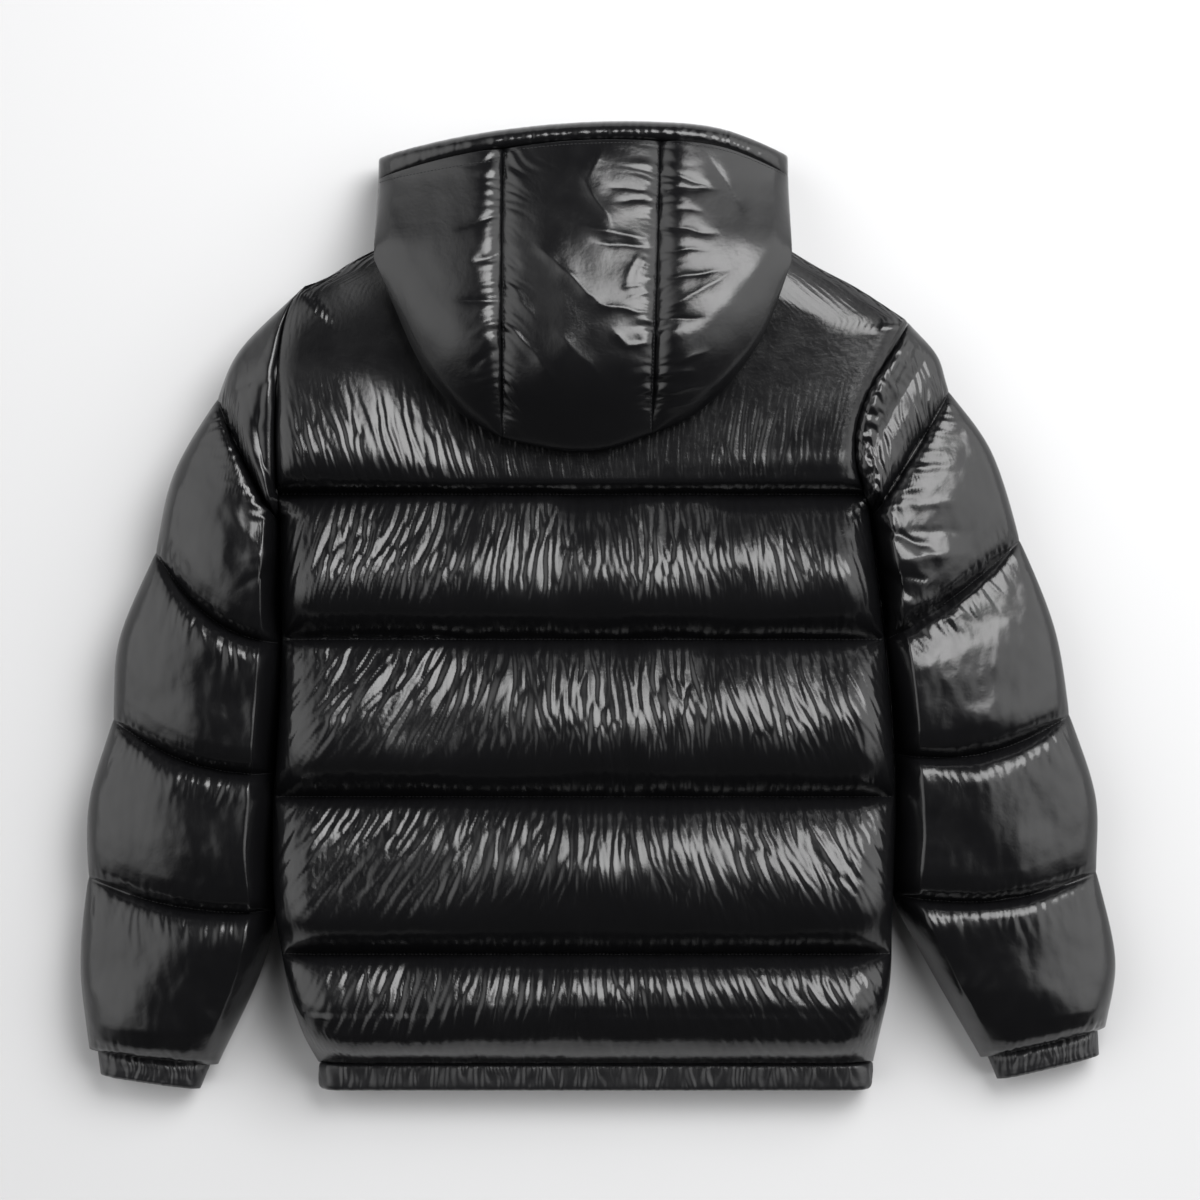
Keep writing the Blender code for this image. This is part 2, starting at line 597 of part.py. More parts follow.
def make_cuffs():
    columns = np.linspace(0, 1, 2 * CUFF_GATHERS + 1)
    crowded = CUFF_CROWD * (1 - np.cos(math.pi * columns)) + (1 - 2 * CUFF_CROWD) * columns
    columns = 0.5 - 0.5 * np.cos(math.pi * crowded)
    shrunk = 0.5 + CUFF_HOLLOW * (columns - 0.5)
    for side, cuff in CUFFS.items():
        last = SLEEVES[side][-1]
        outer_end = np.array((last.outer_x, last.outer_y - SEAM_GAP), float)
        inner_end = np.array((last.inner_x, last.inner_y - SEAM_GAP), float)
        wrist = np.array([outer_end + (inner_end - outer_end) * share for share in (cuff.begins, cuff.ends)])
        hand = np.array([cuff.outer_hand, cuff.inner_hand], float)
        outer, inner = [], []
        for share, swell in CUFF_SWELL:
            start, end = wrist + (hand - wrist) * share
            plan = start + (end - start) * columns[:, None]
            rise = arch(columns, CUFF_SQUARE)
            wave = CUFF_GATHER_HEIGHT * zigzag(len(columns)) * rise
            upper = HEM_MID + (CUFF_TOP - HEM_MID) * swell * rise + wave
            width = float(np.linalg.norm(end - start))
            lower = HEM_MID * (1 - rounding(np.minimum(columns, 1 - columns) * width / CUFF_ROUND))
            outer.append(ring_of(plan, upper, lower))
            inside = start + (end - start) * shrunk[:, None]
            level = np.full(len(columns), HEM_MID)
            inner.append(ring_of(inside, level + SLIT / 2, level - SLIT / 2))
        flat_tube(f"cuff_{side}", outer, [inner[0], inner[-1]], BAND)


# ---------------------------------------------------------------- hem band

def hem_path():
    """Stations round the hem: inner point (x, z), outward direction (x, z) and the gather there."""
    start, end = HEM_ENDS[0] + HEM_MID, HEM_ENDS[1] - HEM_MID
    half = SLIT / 2
    stations = []
    for x in (ZIP_X - ZIP_HALF, (ZIP_X + start) / 2, start):
        stations.append(((x, HEM_MID - half), (0, -1), 0.0))
    turns = np.linspace(0, math.pi, HEM_TURNS + 1)[1:-1]
    for turn in turns:
        way = (-math.sin(turn), -math.cos(turn))
        stations.append(((start + half * way[0], HEM_MID + half * way[1]), way, 0.0))
    for x, wave in zip(np.linspace(start, end, 2 * HEM_GATHERS + 1), zigzag(2 * HEM_GATHERS + 1)):
        stations.append(((x, HEM_MID + half), (0, 1), wave))
    for turn in turns:
        way = (math.sin(turn), math.cos(turn))
        stations.append(((end + half * way[0], HEM_MID + half * way[1]), way, 0.0))
    for x in (end, (ZIP_X + end) / 2, ZIP_X + ZIP_HALF):
        stations.append(((x, HEM_MID - half), (0, -1), 0.0))
    return stations


def make_hem():
    top, bottom = HEM_Y - SEAM_GAP, HEM_BOTTOM
    section = ((0.0, top, 0.0), (HEM_TOP_SHARE, top, HEM_EDGE_GATHER), (1.0, top - HEM_EDGE, 1.0),
               (1.0, bottom + HEM_EDGE, 1.0), (HEM_BOTTOM_SHARE, bottom, HEM_EDGE_GATHER),
               (0.0, bottom, 0.0))  # share of the thickness, y, share of the gather
    rings = []
    for (x, z), (way_x, way_z), wave in hem_path():
        down = max(0.0, -way_z)
        thick = HEM_THICK + (HEM_MID - SLIT / 2 - HEM_THICK) * min(1.0, 2 * down)
        ring = []
        for share, y, gathered in section:
            flat = 1.0 if way_z == -1 and share > 0 else share
            out = thick * flat + HEM_GATHER_HEIGHT * wave * gathered
            ring.append((x + way_x * out, y, z + way_z * out))
        rings.append(ring)
    loft("hem_band", rings, BAND)


# ---------------------------------------------------------------- hood

def swell_from(away, reach):
    """How far the hood has risen at a distance from one of its edges: quickly at first, then in a long curve."""
    wide, share = HOOD_EDGE
    return mix(1 - (1 - min(away / reach, 1)) ** 2, float(rounding(away / wide)), share)


def hood_top(x, y, crown):
    """Height of the hood's outer side without its seams, and of its side fold."""
    full = float(curve(HOOD_HEIGHT, y))
    fold = float(curve(HOOD_FOLD, y)) + HOOD_FOLD_HALF
    side = min(x - HOOD_X[0], HOOD_X[1] - x)
    return mix(fold, full, swell_from(side, HOOD_SIDE_ROUND) * swell_from(y - crown, HOOD_CROWN_ROUND)), fold


def seam_trough(seam_gap, centre):
    """Depth of the trough beside a seam; in the centre panel a soft hollow lies beside it."""
    if not centre:
        return HOOD_SEAM_DEPTH * math.exp(-seam_gap / HOOD_SEAM_WIDTH)
    hollow, reach = HOOD_PUFF
    return ((HOOD_SEAM_DEPTH - hollow) * math.exp(-seam_gap / HOOD_SEAM_CLOSE)
            + hollow * (1 - min(seam_gap / reach, 1)) ** 2)


def hood_under(x, y, crown):
    """Height of the hood's lower side where it lies on the back."""
    lay = NEST_TOP + SEAM_GAP
    edge = HOOD_FOLD[0][1] - HOOD_FOLD_HALF
    inside = min(x - HOOD_X[0], HOOD_X[1] - x, y - crown)
    return lay + (edge - lay) * (1 - float(rounding(inside / HOOD_UNDER_ROUND)))


def shifted(seam, by):
    return tuple((y, x + by) for y, x in seam)


def hood_panels():
    """Each hood panel's left and right boundary, and the seams that draw it in."""
    left_edge, right_edge = (((126, x), (394, x)) for x in HOOD_X)
    half = SEAM_GAP / 2
    return {
        "hood_left": (left_edge, shifted(HOOD_SEAM_LEFT, -half), (HOOD_SEAM_LEFT,)),
        "hood_centre": (shifted(HOOD_SEAM_LEFT, half), shifted(HOOD_SEAM_RIGHT, -half),
                        (HOOD_SEAM_LEFT, HOOD_SEAM_RIGHT)),
        "hood_right": (shifted(HOOD_SEAM_RIGHT, half), right_edge, (HOOD_SEAM_RIGHT,)),
    }


class HoodColumn:
    """One column of a hood panel: where it lies across the hood, and where its rows begin and end."""

    def __init__(self, share, left, right):
        self.share, self.left, self.right = share, left, right
        self.x = self.x_at(HOOD_MIDDLE_Y)
        self.crown, self.stitch, self.rim = (float(curve(table, self.x))
                                             for table in (HOOD_CROWN, HOOD_STITCH, HOOD_RIM))
        self.side = min(self.x - HOOD_X[0], HOOD_X[1] - self.x)

    def x_at(self, y):
        return float(line(self.left, y) * (1 - self.share) + line(self.right, y) * self.share)

    def place(self, y, z):
        return (self.x_at(y), y, z)


def lip_top(side):
    return mix(*LIP_TOP, float(rounding(side / LIP_ROUND)))


def hood_section(column, sewn):
    """The closed outline, in a plane along y, of one column of a hood panel."""
    place, crown, stitch, rim = column.place, column.crown, column.stitch, column.rim
    wall = LIP_EDGE * (1 - float(rounding(column.side / LIP_ROUND)))
    lip = lip_top(column.side)
    mouth_front = stitch - MOUTH_WALL
    mouth = min(MOUTH_END_Y + (mouth_front - MOUTH_END_Y) * (1 - min(1, column.side / MOUTH_SIDE)), mouth_front)
    nose_deep, nose_high = LIP_NOSE
    neck = NECK_Y + SEAM_GAP
    points = [place(stitch, lip + MOUTH)]
    for row, wave in zip(HOOD_ROWS, zigzag(len(HOOD_ROWS))):
        y = stitch + (crown - stitch) * row
        seam_gap = min(abs(column.x_at(y) - float(line(seam, y))) for seam in sewn)
        z, fold = hood_top(column.x, y, crown)
        pucker = wave * HOOD_PUCKER * math.exp(-seam_gap / HOOD_PUCKER_WIDTH)
        sunk = (seam_trough(seam_gap, len(sewn) == 2) - pucker) * min(1, (z - fold) / HOOD_LEVEL)
        points.append(place(y, max(z - sunk, fold)))
    for inward in HOOD_UNDER_ROWS:
        y = crown + min(inward, (neck - crown) * inward / HOOD_UNDER_END)
        points.append(place(y, hood_under(column.x, y, crown)))
    points.append(place(neck, hood_under(column.x, neck, crown)))
    points += [place(neck, wall), place(rim - nose_deep, wall), place(rim, wall + nose_high)]
    points += [place(rim, lip), place(mouth, lip), place(mouth, lip + MOUTH)]
    return points


def make_hood():
    for name, (left, right, sewn) in hood_panels().items():
        columns = [HoodColumn(share, left, right) for share in HOOD_COLUMNS[name]]
        loft(name, [hood_section(column, sewn) for column in columns], FABRIC)


def make_hood_rim():
    """The channel round the face opening, sewn to the front edge of the hood's upper layer."""
    columns = [HoodColumn(share, left, right)
               for name, (left, right, _) in hood_panels().items() for share in HOOD_COLUMNS[name]]
    kept = [column for column, after in zip(columns, columns[1:]) if after.x - column.x > RIM_APART]
    kept.append(columns[-1])
    rings = []
    for column in kept:
        low = lip_top(column.side) + SEAM_GAP
        beside, _ = hood_top(column.x, column.stitch, column.crown)
        height = max(beside - RIM_DROP - low, RIM_LEAST)
        back = column.stitch + SEAM_GAP
        deep = column.rim - back
        rings.append([column.place(back + deep * share, low + height * up) for share, up in RIM_PROFILE])
    loft("hood_rim", rings, FABRIC)


# ---------------------------------------------------------------- zip

def box(bm, size, centre):
    made = bmesh.ops.create_cube(bm, size=1.0)["verts"]
    bmesh.ops.scale(bm, vec=size, verts=made)
    bmesh.ops.translate(bm, vec=centre, verts=made)


def rod(bm, radius, length, centre, segments=16):
    """A cylinder along x."""
    made = bmesh.ops.create_cone(bm, cap_ends=True, segments=segments, radius1=radius, radius2=radius,
                                 depth=length, matrix=Matrix.Rotation(math.pi / 2, 4, "Y"))["verts"]
    bmesh.ops.translate(bm, vec=centre, verts=made)


def combine(base, other, operation):
    """Adds or cuts another object, and hides it as a helper."""
    change = base.modifiers.new(operation.lower(), "BOOLEAN")
    change.operation = operation
    change.object = other
    other.hide_render = True
    other.display_type = "WIRE"


def shape(name, builder, look=METAL, group="helpers"):
    bm = bmesh.new()
    builder(bm)
    return object_from(name, bm, look, group, sharp=30)


def make_zip():
    """Zip tape with its closed chain, seated between the two fronts, with slider and pull tab."""
    half = ZIP_HALF - SEAM_GAP
    low, high = ZIP_CHAIN
    flange_low, flange_high = ZIP_TAPE
    section = ((-half, flange_low), (-ZIP_CHAIN_HALF, flange_low), (-ZIP_CHAIN_HALF, low),
               (ZIP_CHAIN_HALF, low), (ZIP_CHAIN_HALF, flange_low), (half, flange_low), (half, flange_high),
               (ZIP_CHAIN_HALF, flange_high), (ZIP_CHAIN_HALF, high), (-ZIP_CHAIN_HALF, high),
               (-ZIP_CHAIN_HALF, flange_high), (-half, flange_high))
    loft("zip", [[(ZIP_X + x, y, z) for x, z in section] for y in (NECK_Y, HEM_BOTTOM + ZIP_END)], TAPE)

    plate_z = low - SEAM_GAP - SLIDER_SIZE[2] / 2
    slider = shape("zip_slider", lambda bm: box(bm, SLIDER_SIZE, (ZIP_X, SLIDER_Y, plate_z)),
                   group="puffer_jacket")
    bevel = slider.modifiers.new("rounded", "BEVEL")
    bevel.width = SLIDER_ROUND * MM
    bevel.segments = 2
    lug_x = TAB_SIZE[0] / 2 + LUG_CLEARANCE + LUG_SIZE[0] / 2
    lug_z = PIN_Z + LUG_SIZE[2] / 2 - LUG_BELOW_PIN
    for side in (-1, 1):
        place = (ZIP_X + side * lug_x, SLIDER_Y, lug_z)
        combine(slider, shape(f"lug_{side}", lambda bm, place=place: box(bm, LUG_SIZE, place)), "UNION")
    pin = shape("pin", lambda bm: rod(bm, PIN_RADIUS, 2 * lug_x, (ZIP_X, SLIDER_Y, PIN_Z)))
    combine(slider, pin, "UNION")


def round_eye(degrees):
    return math.cos(math.radians(degrees)), math.sin(math.radians(degrees))


def make_pull_tab():
    """A flat tab whose eye turns on the slider's pin; it hangs from an empty on that axis."""
    wide, long, thick = TAB_SIZE
    eye = [round_eye(turn) for turn in np.linspace(-EYE_TURN, EYE_TURN, EYE_POINTS)]
    hole_ends = [round_eye(HOLE_TURN), round_eye(-HOLE_TURN)]
    outline = [(TAB_EYE_RADIUS * y, TAB_EYE_RADIUS * z) for y, z in eye]
    outline += [(-long, thick / 2), (-long, -thick / 2)]
    hole = [(TAB_HOLE_RADIUS * y, TAB_HOLE_RADIUS * z) for y, z in eye + hole_ends]
    sides = (-wide / 2, wide / 2)
    tab = flat_tube("pull_tab", [[(x, y, z) for y, z in outline] for x in sides],
                    [[(x, y, z) for y, z in hole] for x in sides], METAL)
    hinge = bpy.data.objects.new("pull_tab_hinge", None)
    collection("puffer_jacket").objects.link(hinge)
    hinge.location = (ZIP_X * MM, SLIDER_Y * MM, PIN_Z * MM)
    tab.parent = hinge


def main():
    clear_scene()
    make_back()
    make_fronts()
    make_sleeves()
    make_cuffs()
    make_hem()
    make_hood()
    make_hood_rim()
    make_zip()
    make_pull_tab()


main()
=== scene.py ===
"""Hooded puffer jacket, laid flat with its back up: the dressed model.

The tables repeat the CAD's named sizes in millimetres. Each padded piece is built on a fine grid over
the same outline and heights, raised by its filling and creased like thin shiny nylon.
"""

import math
from collections import namedtuple

import bpy
import numpy as np
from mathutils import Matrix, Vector


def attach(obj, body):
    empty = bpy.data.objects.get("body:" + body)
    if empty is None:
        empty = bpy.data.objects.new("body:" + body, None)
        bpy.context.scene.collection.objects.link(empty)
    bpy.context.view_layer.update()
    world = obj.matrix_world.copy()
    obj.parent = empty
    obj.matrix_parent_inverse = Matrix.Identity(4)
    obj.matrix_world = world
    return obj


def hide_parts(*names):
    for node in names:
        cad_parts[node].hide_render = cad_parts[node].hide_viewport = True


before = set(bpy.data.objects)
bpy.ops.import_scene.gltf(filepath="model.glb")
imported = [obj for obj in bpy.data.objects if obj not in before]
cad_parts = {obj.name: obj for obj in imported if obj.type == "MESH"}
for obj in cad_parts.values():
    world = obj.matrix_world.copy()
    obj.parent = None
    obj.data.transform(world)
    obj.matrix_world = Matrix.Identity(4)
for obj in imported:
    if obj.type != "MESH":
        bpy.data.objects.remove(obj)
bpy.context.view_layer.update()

MM = 0.001

# ---- sizes, as in the CAD

SEAM_GAP = 0.3  # between two pieces that meet
BODY_MID = 44.0  # height at which the back lies on the fronts
HEM_MID = 19.0  # and that of the middle of the hem band and the cuffs
NEST_TOP = 77.0  # height that the back keeps to under the hood
NEST_MARGIN = 8.0  # how far out from the hood it still does
NEST_ROUND = 62.0  # and over what width it rises from there
LAYER_ROWS = ((-371.0, HEM_MID), (-345.0, 33.0), (-318.0, 41.0), (-290.0, BODY_MID), (291.0, BODY_MID))

NECK_Y = 291.0
HEM_Y = -371.0
QUILT_Y = (NECK_Y, 93.5, -24.0, -152.5, -279.5, HEM_Y)
# Thickness of the back at a line of quilting, at the crest of a baffle, at the hem and along its edges.
QUILT_WALL = 8.0
PUFF_WALL = 49.0
HEM_WALL = 19.0
EDGE_WALL = 4.0
CRESTS = (1.4, 1.25, 1.05, 0.8)  # of baffles from the second on: over 1, fuller at the lower line
# A bank lifts a baffle by this share of its height, within this share of its length, and has its crest at
# this share. The rows say how much of the bank each baffle from the second on has: (x, share).
BANK_STEP, BANK_NEAR, BANK_CREST = 0.3, 0.06, 0.68
BANKED = (
    ((-250, 0.5), (-210, 0.9), (-130, 0.9), (-100, 0.3), (-85, 0.8), (-40, 0.8), (-20, 0.0), (15, 0.1),
     (35, 0.7), (80, 0.7), (110, 0.2), (190, 0.2)),
    ((-250, 0.7), (-220, 0.95), (-130, 0.95), (-100, 0.4), (-60, 0.45), (0, 0.55), (25, 0.1), (45, 0.65),
     (72, 0.65), (95, 0.0), (125, 0.35), (190, 0.35)),
    ((-250, 0.65), (-220, 0.8), (-140, 0.75), (-60, 0.35), (-10, 0.2), (60, 0.1), (120, 0.3), (200, 0.6)),
    ((-250, 0.6), (-200, 0.8), (-130, 0.7), (-60, 0.4), (60, 0.3), (200, 0.6)),
)
# Thickness of the first baffle at the left and the right: (y, mm), and from where to where in x it changes.
YOKE_LEFT = ((93.5, 8), (96, 22), (99, 36), (105, 45), (112, 49.5), (121, 51), (140, 48), (160, 42.5),
             (180, 37), (197, 33.8), (215, 33), (291, 33))
YOKE_RIGHT = ((93.5, 8), (96, 20), (101, 31), (110, 35), (130, 36), (160, 36), (190, 35), (215, 34),
              (250, 33), (291, 33))
YOKE_CHANGE = (-235, -85)
EDGE_ROUNDS = ((-371, 36), (60, 36), (100, 18), (225, 18), (262, 46), (291, 46))  # y, width of the rounding
UNDER_ROUND = (53.0, 30.0)  # and its width under the side, at a line of quilting and at a crest
SHOULDER_SLANT = 2.0  # how many times wider that is at the shoulder
PUFF_POWER = 0.62

OUTWARD = {"left": -1, "right": 1}  # the way along x
SHOULDERS = {  # (y, x)
    "left": ((262, -236), (270, -218), (280, -203), (294, -176)),
    "right": ((233, 252), (244, 236), (262, 208), (276, 181), (291, 156)),
}
FLANKS = {
    "left": ((-371, -230), (-350, -239), (-329, -246), (-280, -257), (-24, -257), (74, -258)),
    "right": ((-371, 226), (-350, 229), (-305, 237), (-248, 239), (-150, 241), (-46, 235), (7, 229),
              (82, 220)),
}
Armhole = namedtuple("Armhole", "tip pit bow deepest top")
ARMHOLES = {
    "left": Armhole(tip=(-236, 262), pit=(-258, 74), bow=-14, deepest=0.29, top=75),
    "right": Armhole(tip=(252, 233), pit=(220, 82), bow=-26, deepest=0.56, top=75),
}

# Rows of a sleeve, half a baffle apart from the armhole to the cuff: its two ends, of which the inner one is
# beside the body where inner_x is None, and its bow to the cuff; then the heights of its middle and ridge.
SleeveRow = namedtuple("SleeveRow", "seam outer_x outer_y inner_x inner_y sag mid top")
SLEEVE_PLANS = {
    "left": (
        (-236, 262, -258, 74, 0), (-286, 215, None, 72.5, 0), (-311, 171, None, 70, 0),
        (-344, 110, None, 20, 9), (-362, 46, None, -28, 18), (-389, -25, None, -80, 15),
        (-397, -90, None, -134, 12), (-414, -156, None, -190, 10), (-418, -219, None, -246, 9),
        (-423, -295, -277, -300, 5), (-418, -361, -312, -374, 0),
    ),
    "right": (
        (252, 233, 220, 82, 0), (274, 208, None, 79, 0), (287, 177, None, 75, 0), (319, 128, None, 25, 3),
        (345, 56, None, -25, 4), (371, -16, None, -72, 8), (386, -86, None, -118, 14),
        (405, -153, None, -176, 13), (409, -215, None, -233, 12), (423, -288, 269, -290, 6),
        (417, -343, 314, -368, 0),
    ),
}
SLEEVE_HEIGHTS = (
    (44, 75), (43, 86), (42, 73), (41, 88), (39, 71), (38, 84), (36, 68), (34, 80), (31, 63), (27, 70),
    (19, 39),
)
SLEEVES = {side: [SleeveRow(k / 2, *plan, *SLEEVE_HEIGHTS[k]) for k, plan in enumerate(plans)]
           for side, plans in SLEEVE_PLANS.items()}
SLEEVE_CLEARANCE = 1.5  # between a sleeve and the side of the body
SLEEVE_UNDER = 36.0  # width of the rounding under a sleeve's two sides
# Height of a baffle of a sleeve, as a share, from its upper seam to its lower one.
PROFILE_END = ((0.6, 0.98), (0.8, 0.86), (0.91, 0.64), (0.97, 0.35), (1, 0))
SLEEVE_PROFILE = ((0, 0), (0.02, 0.3), (0.05, 0.5), (0.1, 0.62), (0.2, 0.78), (0.33, 0.95), (0.45, 1.0),
                  *PROFILE_END)
STEEP_PROFILE = ((0, 0), (0.02, 0.4), (0.05, 0.68), (0.1, 0.88), (0.16, 0.97), (0.25, 1.0), *PROFILE_END)
SOFT_BAFFLES = {"left": (1,), "right": (1, 2)}  # those with the first profile
SLEEVE_LEVEL = {"left": (0.62, 2.0), "right": (0.9, 1.6)}  # share of the width where it's level, power
LEVEL_CHANGE = (2.0, 3.0)  # seams between which the right sleeve takes on the left one's
SLEEVE_WALL = 0.88  # share of the width where it turns down beside the body
SLEEVE_EDGE = (0.1, 0.25)  # rounding of its outer edge: share of the width and of the height
RIDGED = ((0.0, 0.0), (0.4, 1.0), (4.2, 1.0), (5.0, 0.0))  # seam, how much of this form it has over an arch
GROOVE_DEPTH = 9.0
GROOVE_WIDTHS = (7.0, 4.0)  # above a seam and below it
NOTCH = 3.5  # how far a sleeve's outer edge draws in at a seam
SLIT = 2.0  # height of the flat hollow inside a sleeve or a cuff

Cuff = namedtuple("Cuff", "begins ends outer_hand inner_hand")
CUFFS = {
    "left": Cuff(0.06, 0.94, (-409, -382), (-327, -394)),
    "right": Cuff(0.06, 0.94, (412, -366), (328, -386)),
}
CUFF_TOP = 36.0
CUFF_ROUND = 17.0  # width of the rounding at its two sides
CUFF_SQUARE = 3.4  # power of its arch
CUFF_HOLLOW = 0.74  # width of its hollow, as a share of its own
CUFF_SWELL = ((0.0, 0.84), (0.2, 0.98), (0.45, 1.0), (0.75, 1.0), (0.92, 0.94), (1.0, 0.8))  # wrist to hand

HEM_BOTTOM = -394.0
HEM_ENDS = (-231.0, 227.0)
HEM_THICK = 16.5
HEM_OUT = 12.0  # how far out from its middle the band's length is measured for the gathers
# Its section at a station: (share of the thickness, share of the depth).
HEM_SECTION = ((0.0, 0.0), (0.7, 0.0), (0.9, 0.03), (0.98, 0.1), (1.0, 0.2), (1.0, 0.35), (1.0, 0.5),
               (1.0, 0.65), (1.0, 0.8), (0.97, 0.9), (0.88, 0.97), (0.7, 1.0), (0.0, 1.0))
HEM_SEWN = 3  # the point of the section along which the band is sewn

ZIP_X = -9.0
ZIP_HALF = 8.0

HOOD_X = (-179.0, 155.0)
HOOD_STITCH = ((-179, 349), (-128, 360), (-78, 368), (-20, 374), (43, 375), (100, 370), (155, 352))
HOOD_RIM = ((-179, 368), (-128, 379), (-78, 387), (-20, 393), (43, 394), (100, 389), (155, 370))
HOOD_HEIGHT = ((126, 112), (160, 124), (205, 130), (235, 128.5), (270, 122.5), (300, 115), (330, 105.5),
               (355, 96.5), (375, 88.5), (385, 84))
HOOD_FOLD = ((100, 86), (250, 86), (275, 84.5), (291, 80.5), (310, 66), (330, 50), (345, 40), (360, 36),
             (400, 36))
HOOD_SEAM_LEFT = ((126, -76), (394, -76))  # (y, x)
HOOD_SEAM_RIGHT = ((126, 43), (394, 51))
# Widths of the roundings from its sides, from its crown and along its very edge, and that last one's share.
HOOD_SIDE_ROUND = 118.0
HOOD_CROWN_ROUND = 72.0
HOOD_EDGE_ROUND = 15.0
HOOD_EDGE_SHARE = 0.2
HOOD_SEAM_DEPTH, HOOD_SEAM_WIDTH = 10.0, 7.0
HOOD_PUFF = 6.0  # how much lower a panel between two seams is at a seam than in its middle
HOOD_LEVEL = 20.0  # height over the fold from which a seam has its full depth
HOOD_FOLD_HALF = 4.0
HOOD_UNDER_ROUND = 24.0
HOOD_MIDDLE_Y = 260.0
HOOD_PANEL_POWER = 1.15  # crowds the columns of the side panels towards the hood's sides
LIP_TOP = (30.0, 46.0)  # height of the lower lip at the sides and in the middle
LIP_EDGE = 25.0
LIP_ROUND = 34.0
RIM_DROP = 3.0  # how far the rim lies below the panels beside it
MOUTH = 3.0  # height of the opening between the lip and the rim
MOUTH_END_Y = 330.0
HOOD_CROWN = ((-179, 280), (-174, 268), (-162, 240), (-146, 204), (-121, 167), (-89, 143), (-48, 130),
              (-15, 126), (10, 128), (43, 139), (84, 159), (112, 188), (137, 229), (149, 262), (155, 280))


# ---- curves and noise

def curve(table, at):
    """Reads a smooth curve through the (key, value) rows of a table, whose keys rise."""
    keys, values = np.array(table, float).T
    slopes = np.gradient(values, keys)
    at = np.clip(np.asarray(at, float), keys[0], keys[-1])
    i = np.clip(np.searchsorted(keys, at) - 1, 0, len(keys) - 2)
    width = keys[i + 1] - keys[i]
    t = (at - keys[i]) / width
    blend = t * t * (3 - 2 * t)
    return (values[i] * (1 - blend) + values[i + 1] * blend
            + width * t * (1 - t) * (slopes[i] * (1 - t) - slopes[i + 1] * t))


def line(table, at):
    """The same, but straight from row to row."""
    keys, values = np.array(table, float).T
    return np.interp(at, keys, values)


def rounding(share):
    """A quarter circle's height over a share of its width, from 0 at the edge to 1."""
    return np.sqrt(1 - (1 - np.clip(share, 0, 1)) ** 2)


def arch(u, power=2.3):
    """Height across a flattened tube, 0 at both edges and 1 in the middle."""
    return np.sqrt(np.clip(1 - np.abs(2 * np.asarray(u, float) - 1) ** power, 0, 1))


def ease(low, high, at):
    """0 below low, 1 above high and smooth between them."""
    t = np.clip((np.asarray(at, float) - low) / (high - low), 0, 1)
    return t * t * (3 - 2 * t)


def mix(first, second, share):
    return first + (second - first) * share


def hashed(i, j, seed):
    """An even spread of values from 0 to 1 for whole numbers i and j."""
    n = (i * 374761393 + j * 668265263 + seed * 974634777) & 0xFFFFFFFF
    n = ((n ^ (n >> 13)) * 1274126177) & 0xFFFFFFFF
    return ((n ^ (n >> 16)) & 0xFFFF) / 65535.0


def noise(x, y, seed=0):
    """Gradient noise, about -1 to 1, with features one unit apart."""
    x, y = np.broadcast_arrays(np.asarray(x, float), np.asarray(y, float))
    i, j = np.floor(x).astype(np.int64), np.floor(y).astype(np.int64)
    u, v = x - i, y - j
    total = 0.0
    fade_u, fade_v = (t * t * t * (t * (6 * t - 15) + 10) for t in (u, v))
    for di in (0, 1):
        for dj in (0, 1):
            turn = hashed(i + di, j + dj, seed) * 2 * math.pi
            slope = np.cos(turn) * (u - di) + np.sin(turn) * (v - dj)
            total = total + slope * (fade_u if di else 1 - fade_u) * (fade_v if dj else 1 - fade_v)
    return total * 1.6


# ---- body outline, as in the CAD

def armhole_x(side, y):
    hole = ARMHOLES[side]
    u = np.clip((hole.tip[1] - y) / (hole.tip[1] - hole.pit[1]), 0, 1)
    power = math.log(0.5) / math.log(hole.deepest)
    return mix(hole.tip[0], hole.pit[0], u) + hole.bow * np.sin(math.pi * u ** power)


def body_edge(side, y):
    """x of the body's edge: shoulder seam, armhole and side seam."""
    hole = ARMHOLES[side]
    y = np.asarray(y, float)
    return np.where(y > hole.tip[1], curve(SHOULDERS[side], y),
                    np.where(y > hole.pit[1], armhole_x(side, y), curve(FLANKS[side], y)))


def edge_wall(side, y):
    """Thickness of the back along its edge, greatest in the armhole."""
    hole = ARMHOLES[side]
    u = (hole.tip[1] - y) / (hole.tip[1] - hole.pit[1])
    opening = np.where((u > 0) & (u < 1), arch(np.clip(u, 0, 1)), 0.0)
    return EDGE_WALL + (hole.top - BODY_MID - EDGE_WALL) * opening


def baffles(y):
    """For each row y: its baffle's number, its share down the baffle and the baffle's height."""
    y = np.asarray(y, float)
    lines = np.array(QUILT_Y)
    number = np.clip(np.searchsorted(-lines, -y, side="right") - 1, 0, len(lines) - 2)
    height = lines[number] - lines[number + 1]
    return number, (lines[number] - y) / height, height


# ---- meshes

FAR = 1e9  # mm, more than any distance here


def points(x, y, z):
    """Points from coordinates of shapes that fit together."""
    return np.stack(np.broadcast_arrays(x, y, z), -1)


def raised(plan, height):
    """Points of a plan at given heights."""
    return np.concatenate([plan, height[..., None]], -1)


def travel_of(path):
    """How far along a path each of its points is."""
    return np.concatenate([[0], np.cumsum(np.linalg.norm(np.diff(path, axis=0), axis=-1))])


def collection(name):
    made = bpy.data.collections.get(name)
    if not made:
        made = bpy.data.collections.new(name)
        bpy.context.scene.collection.children.link(made)
    return made


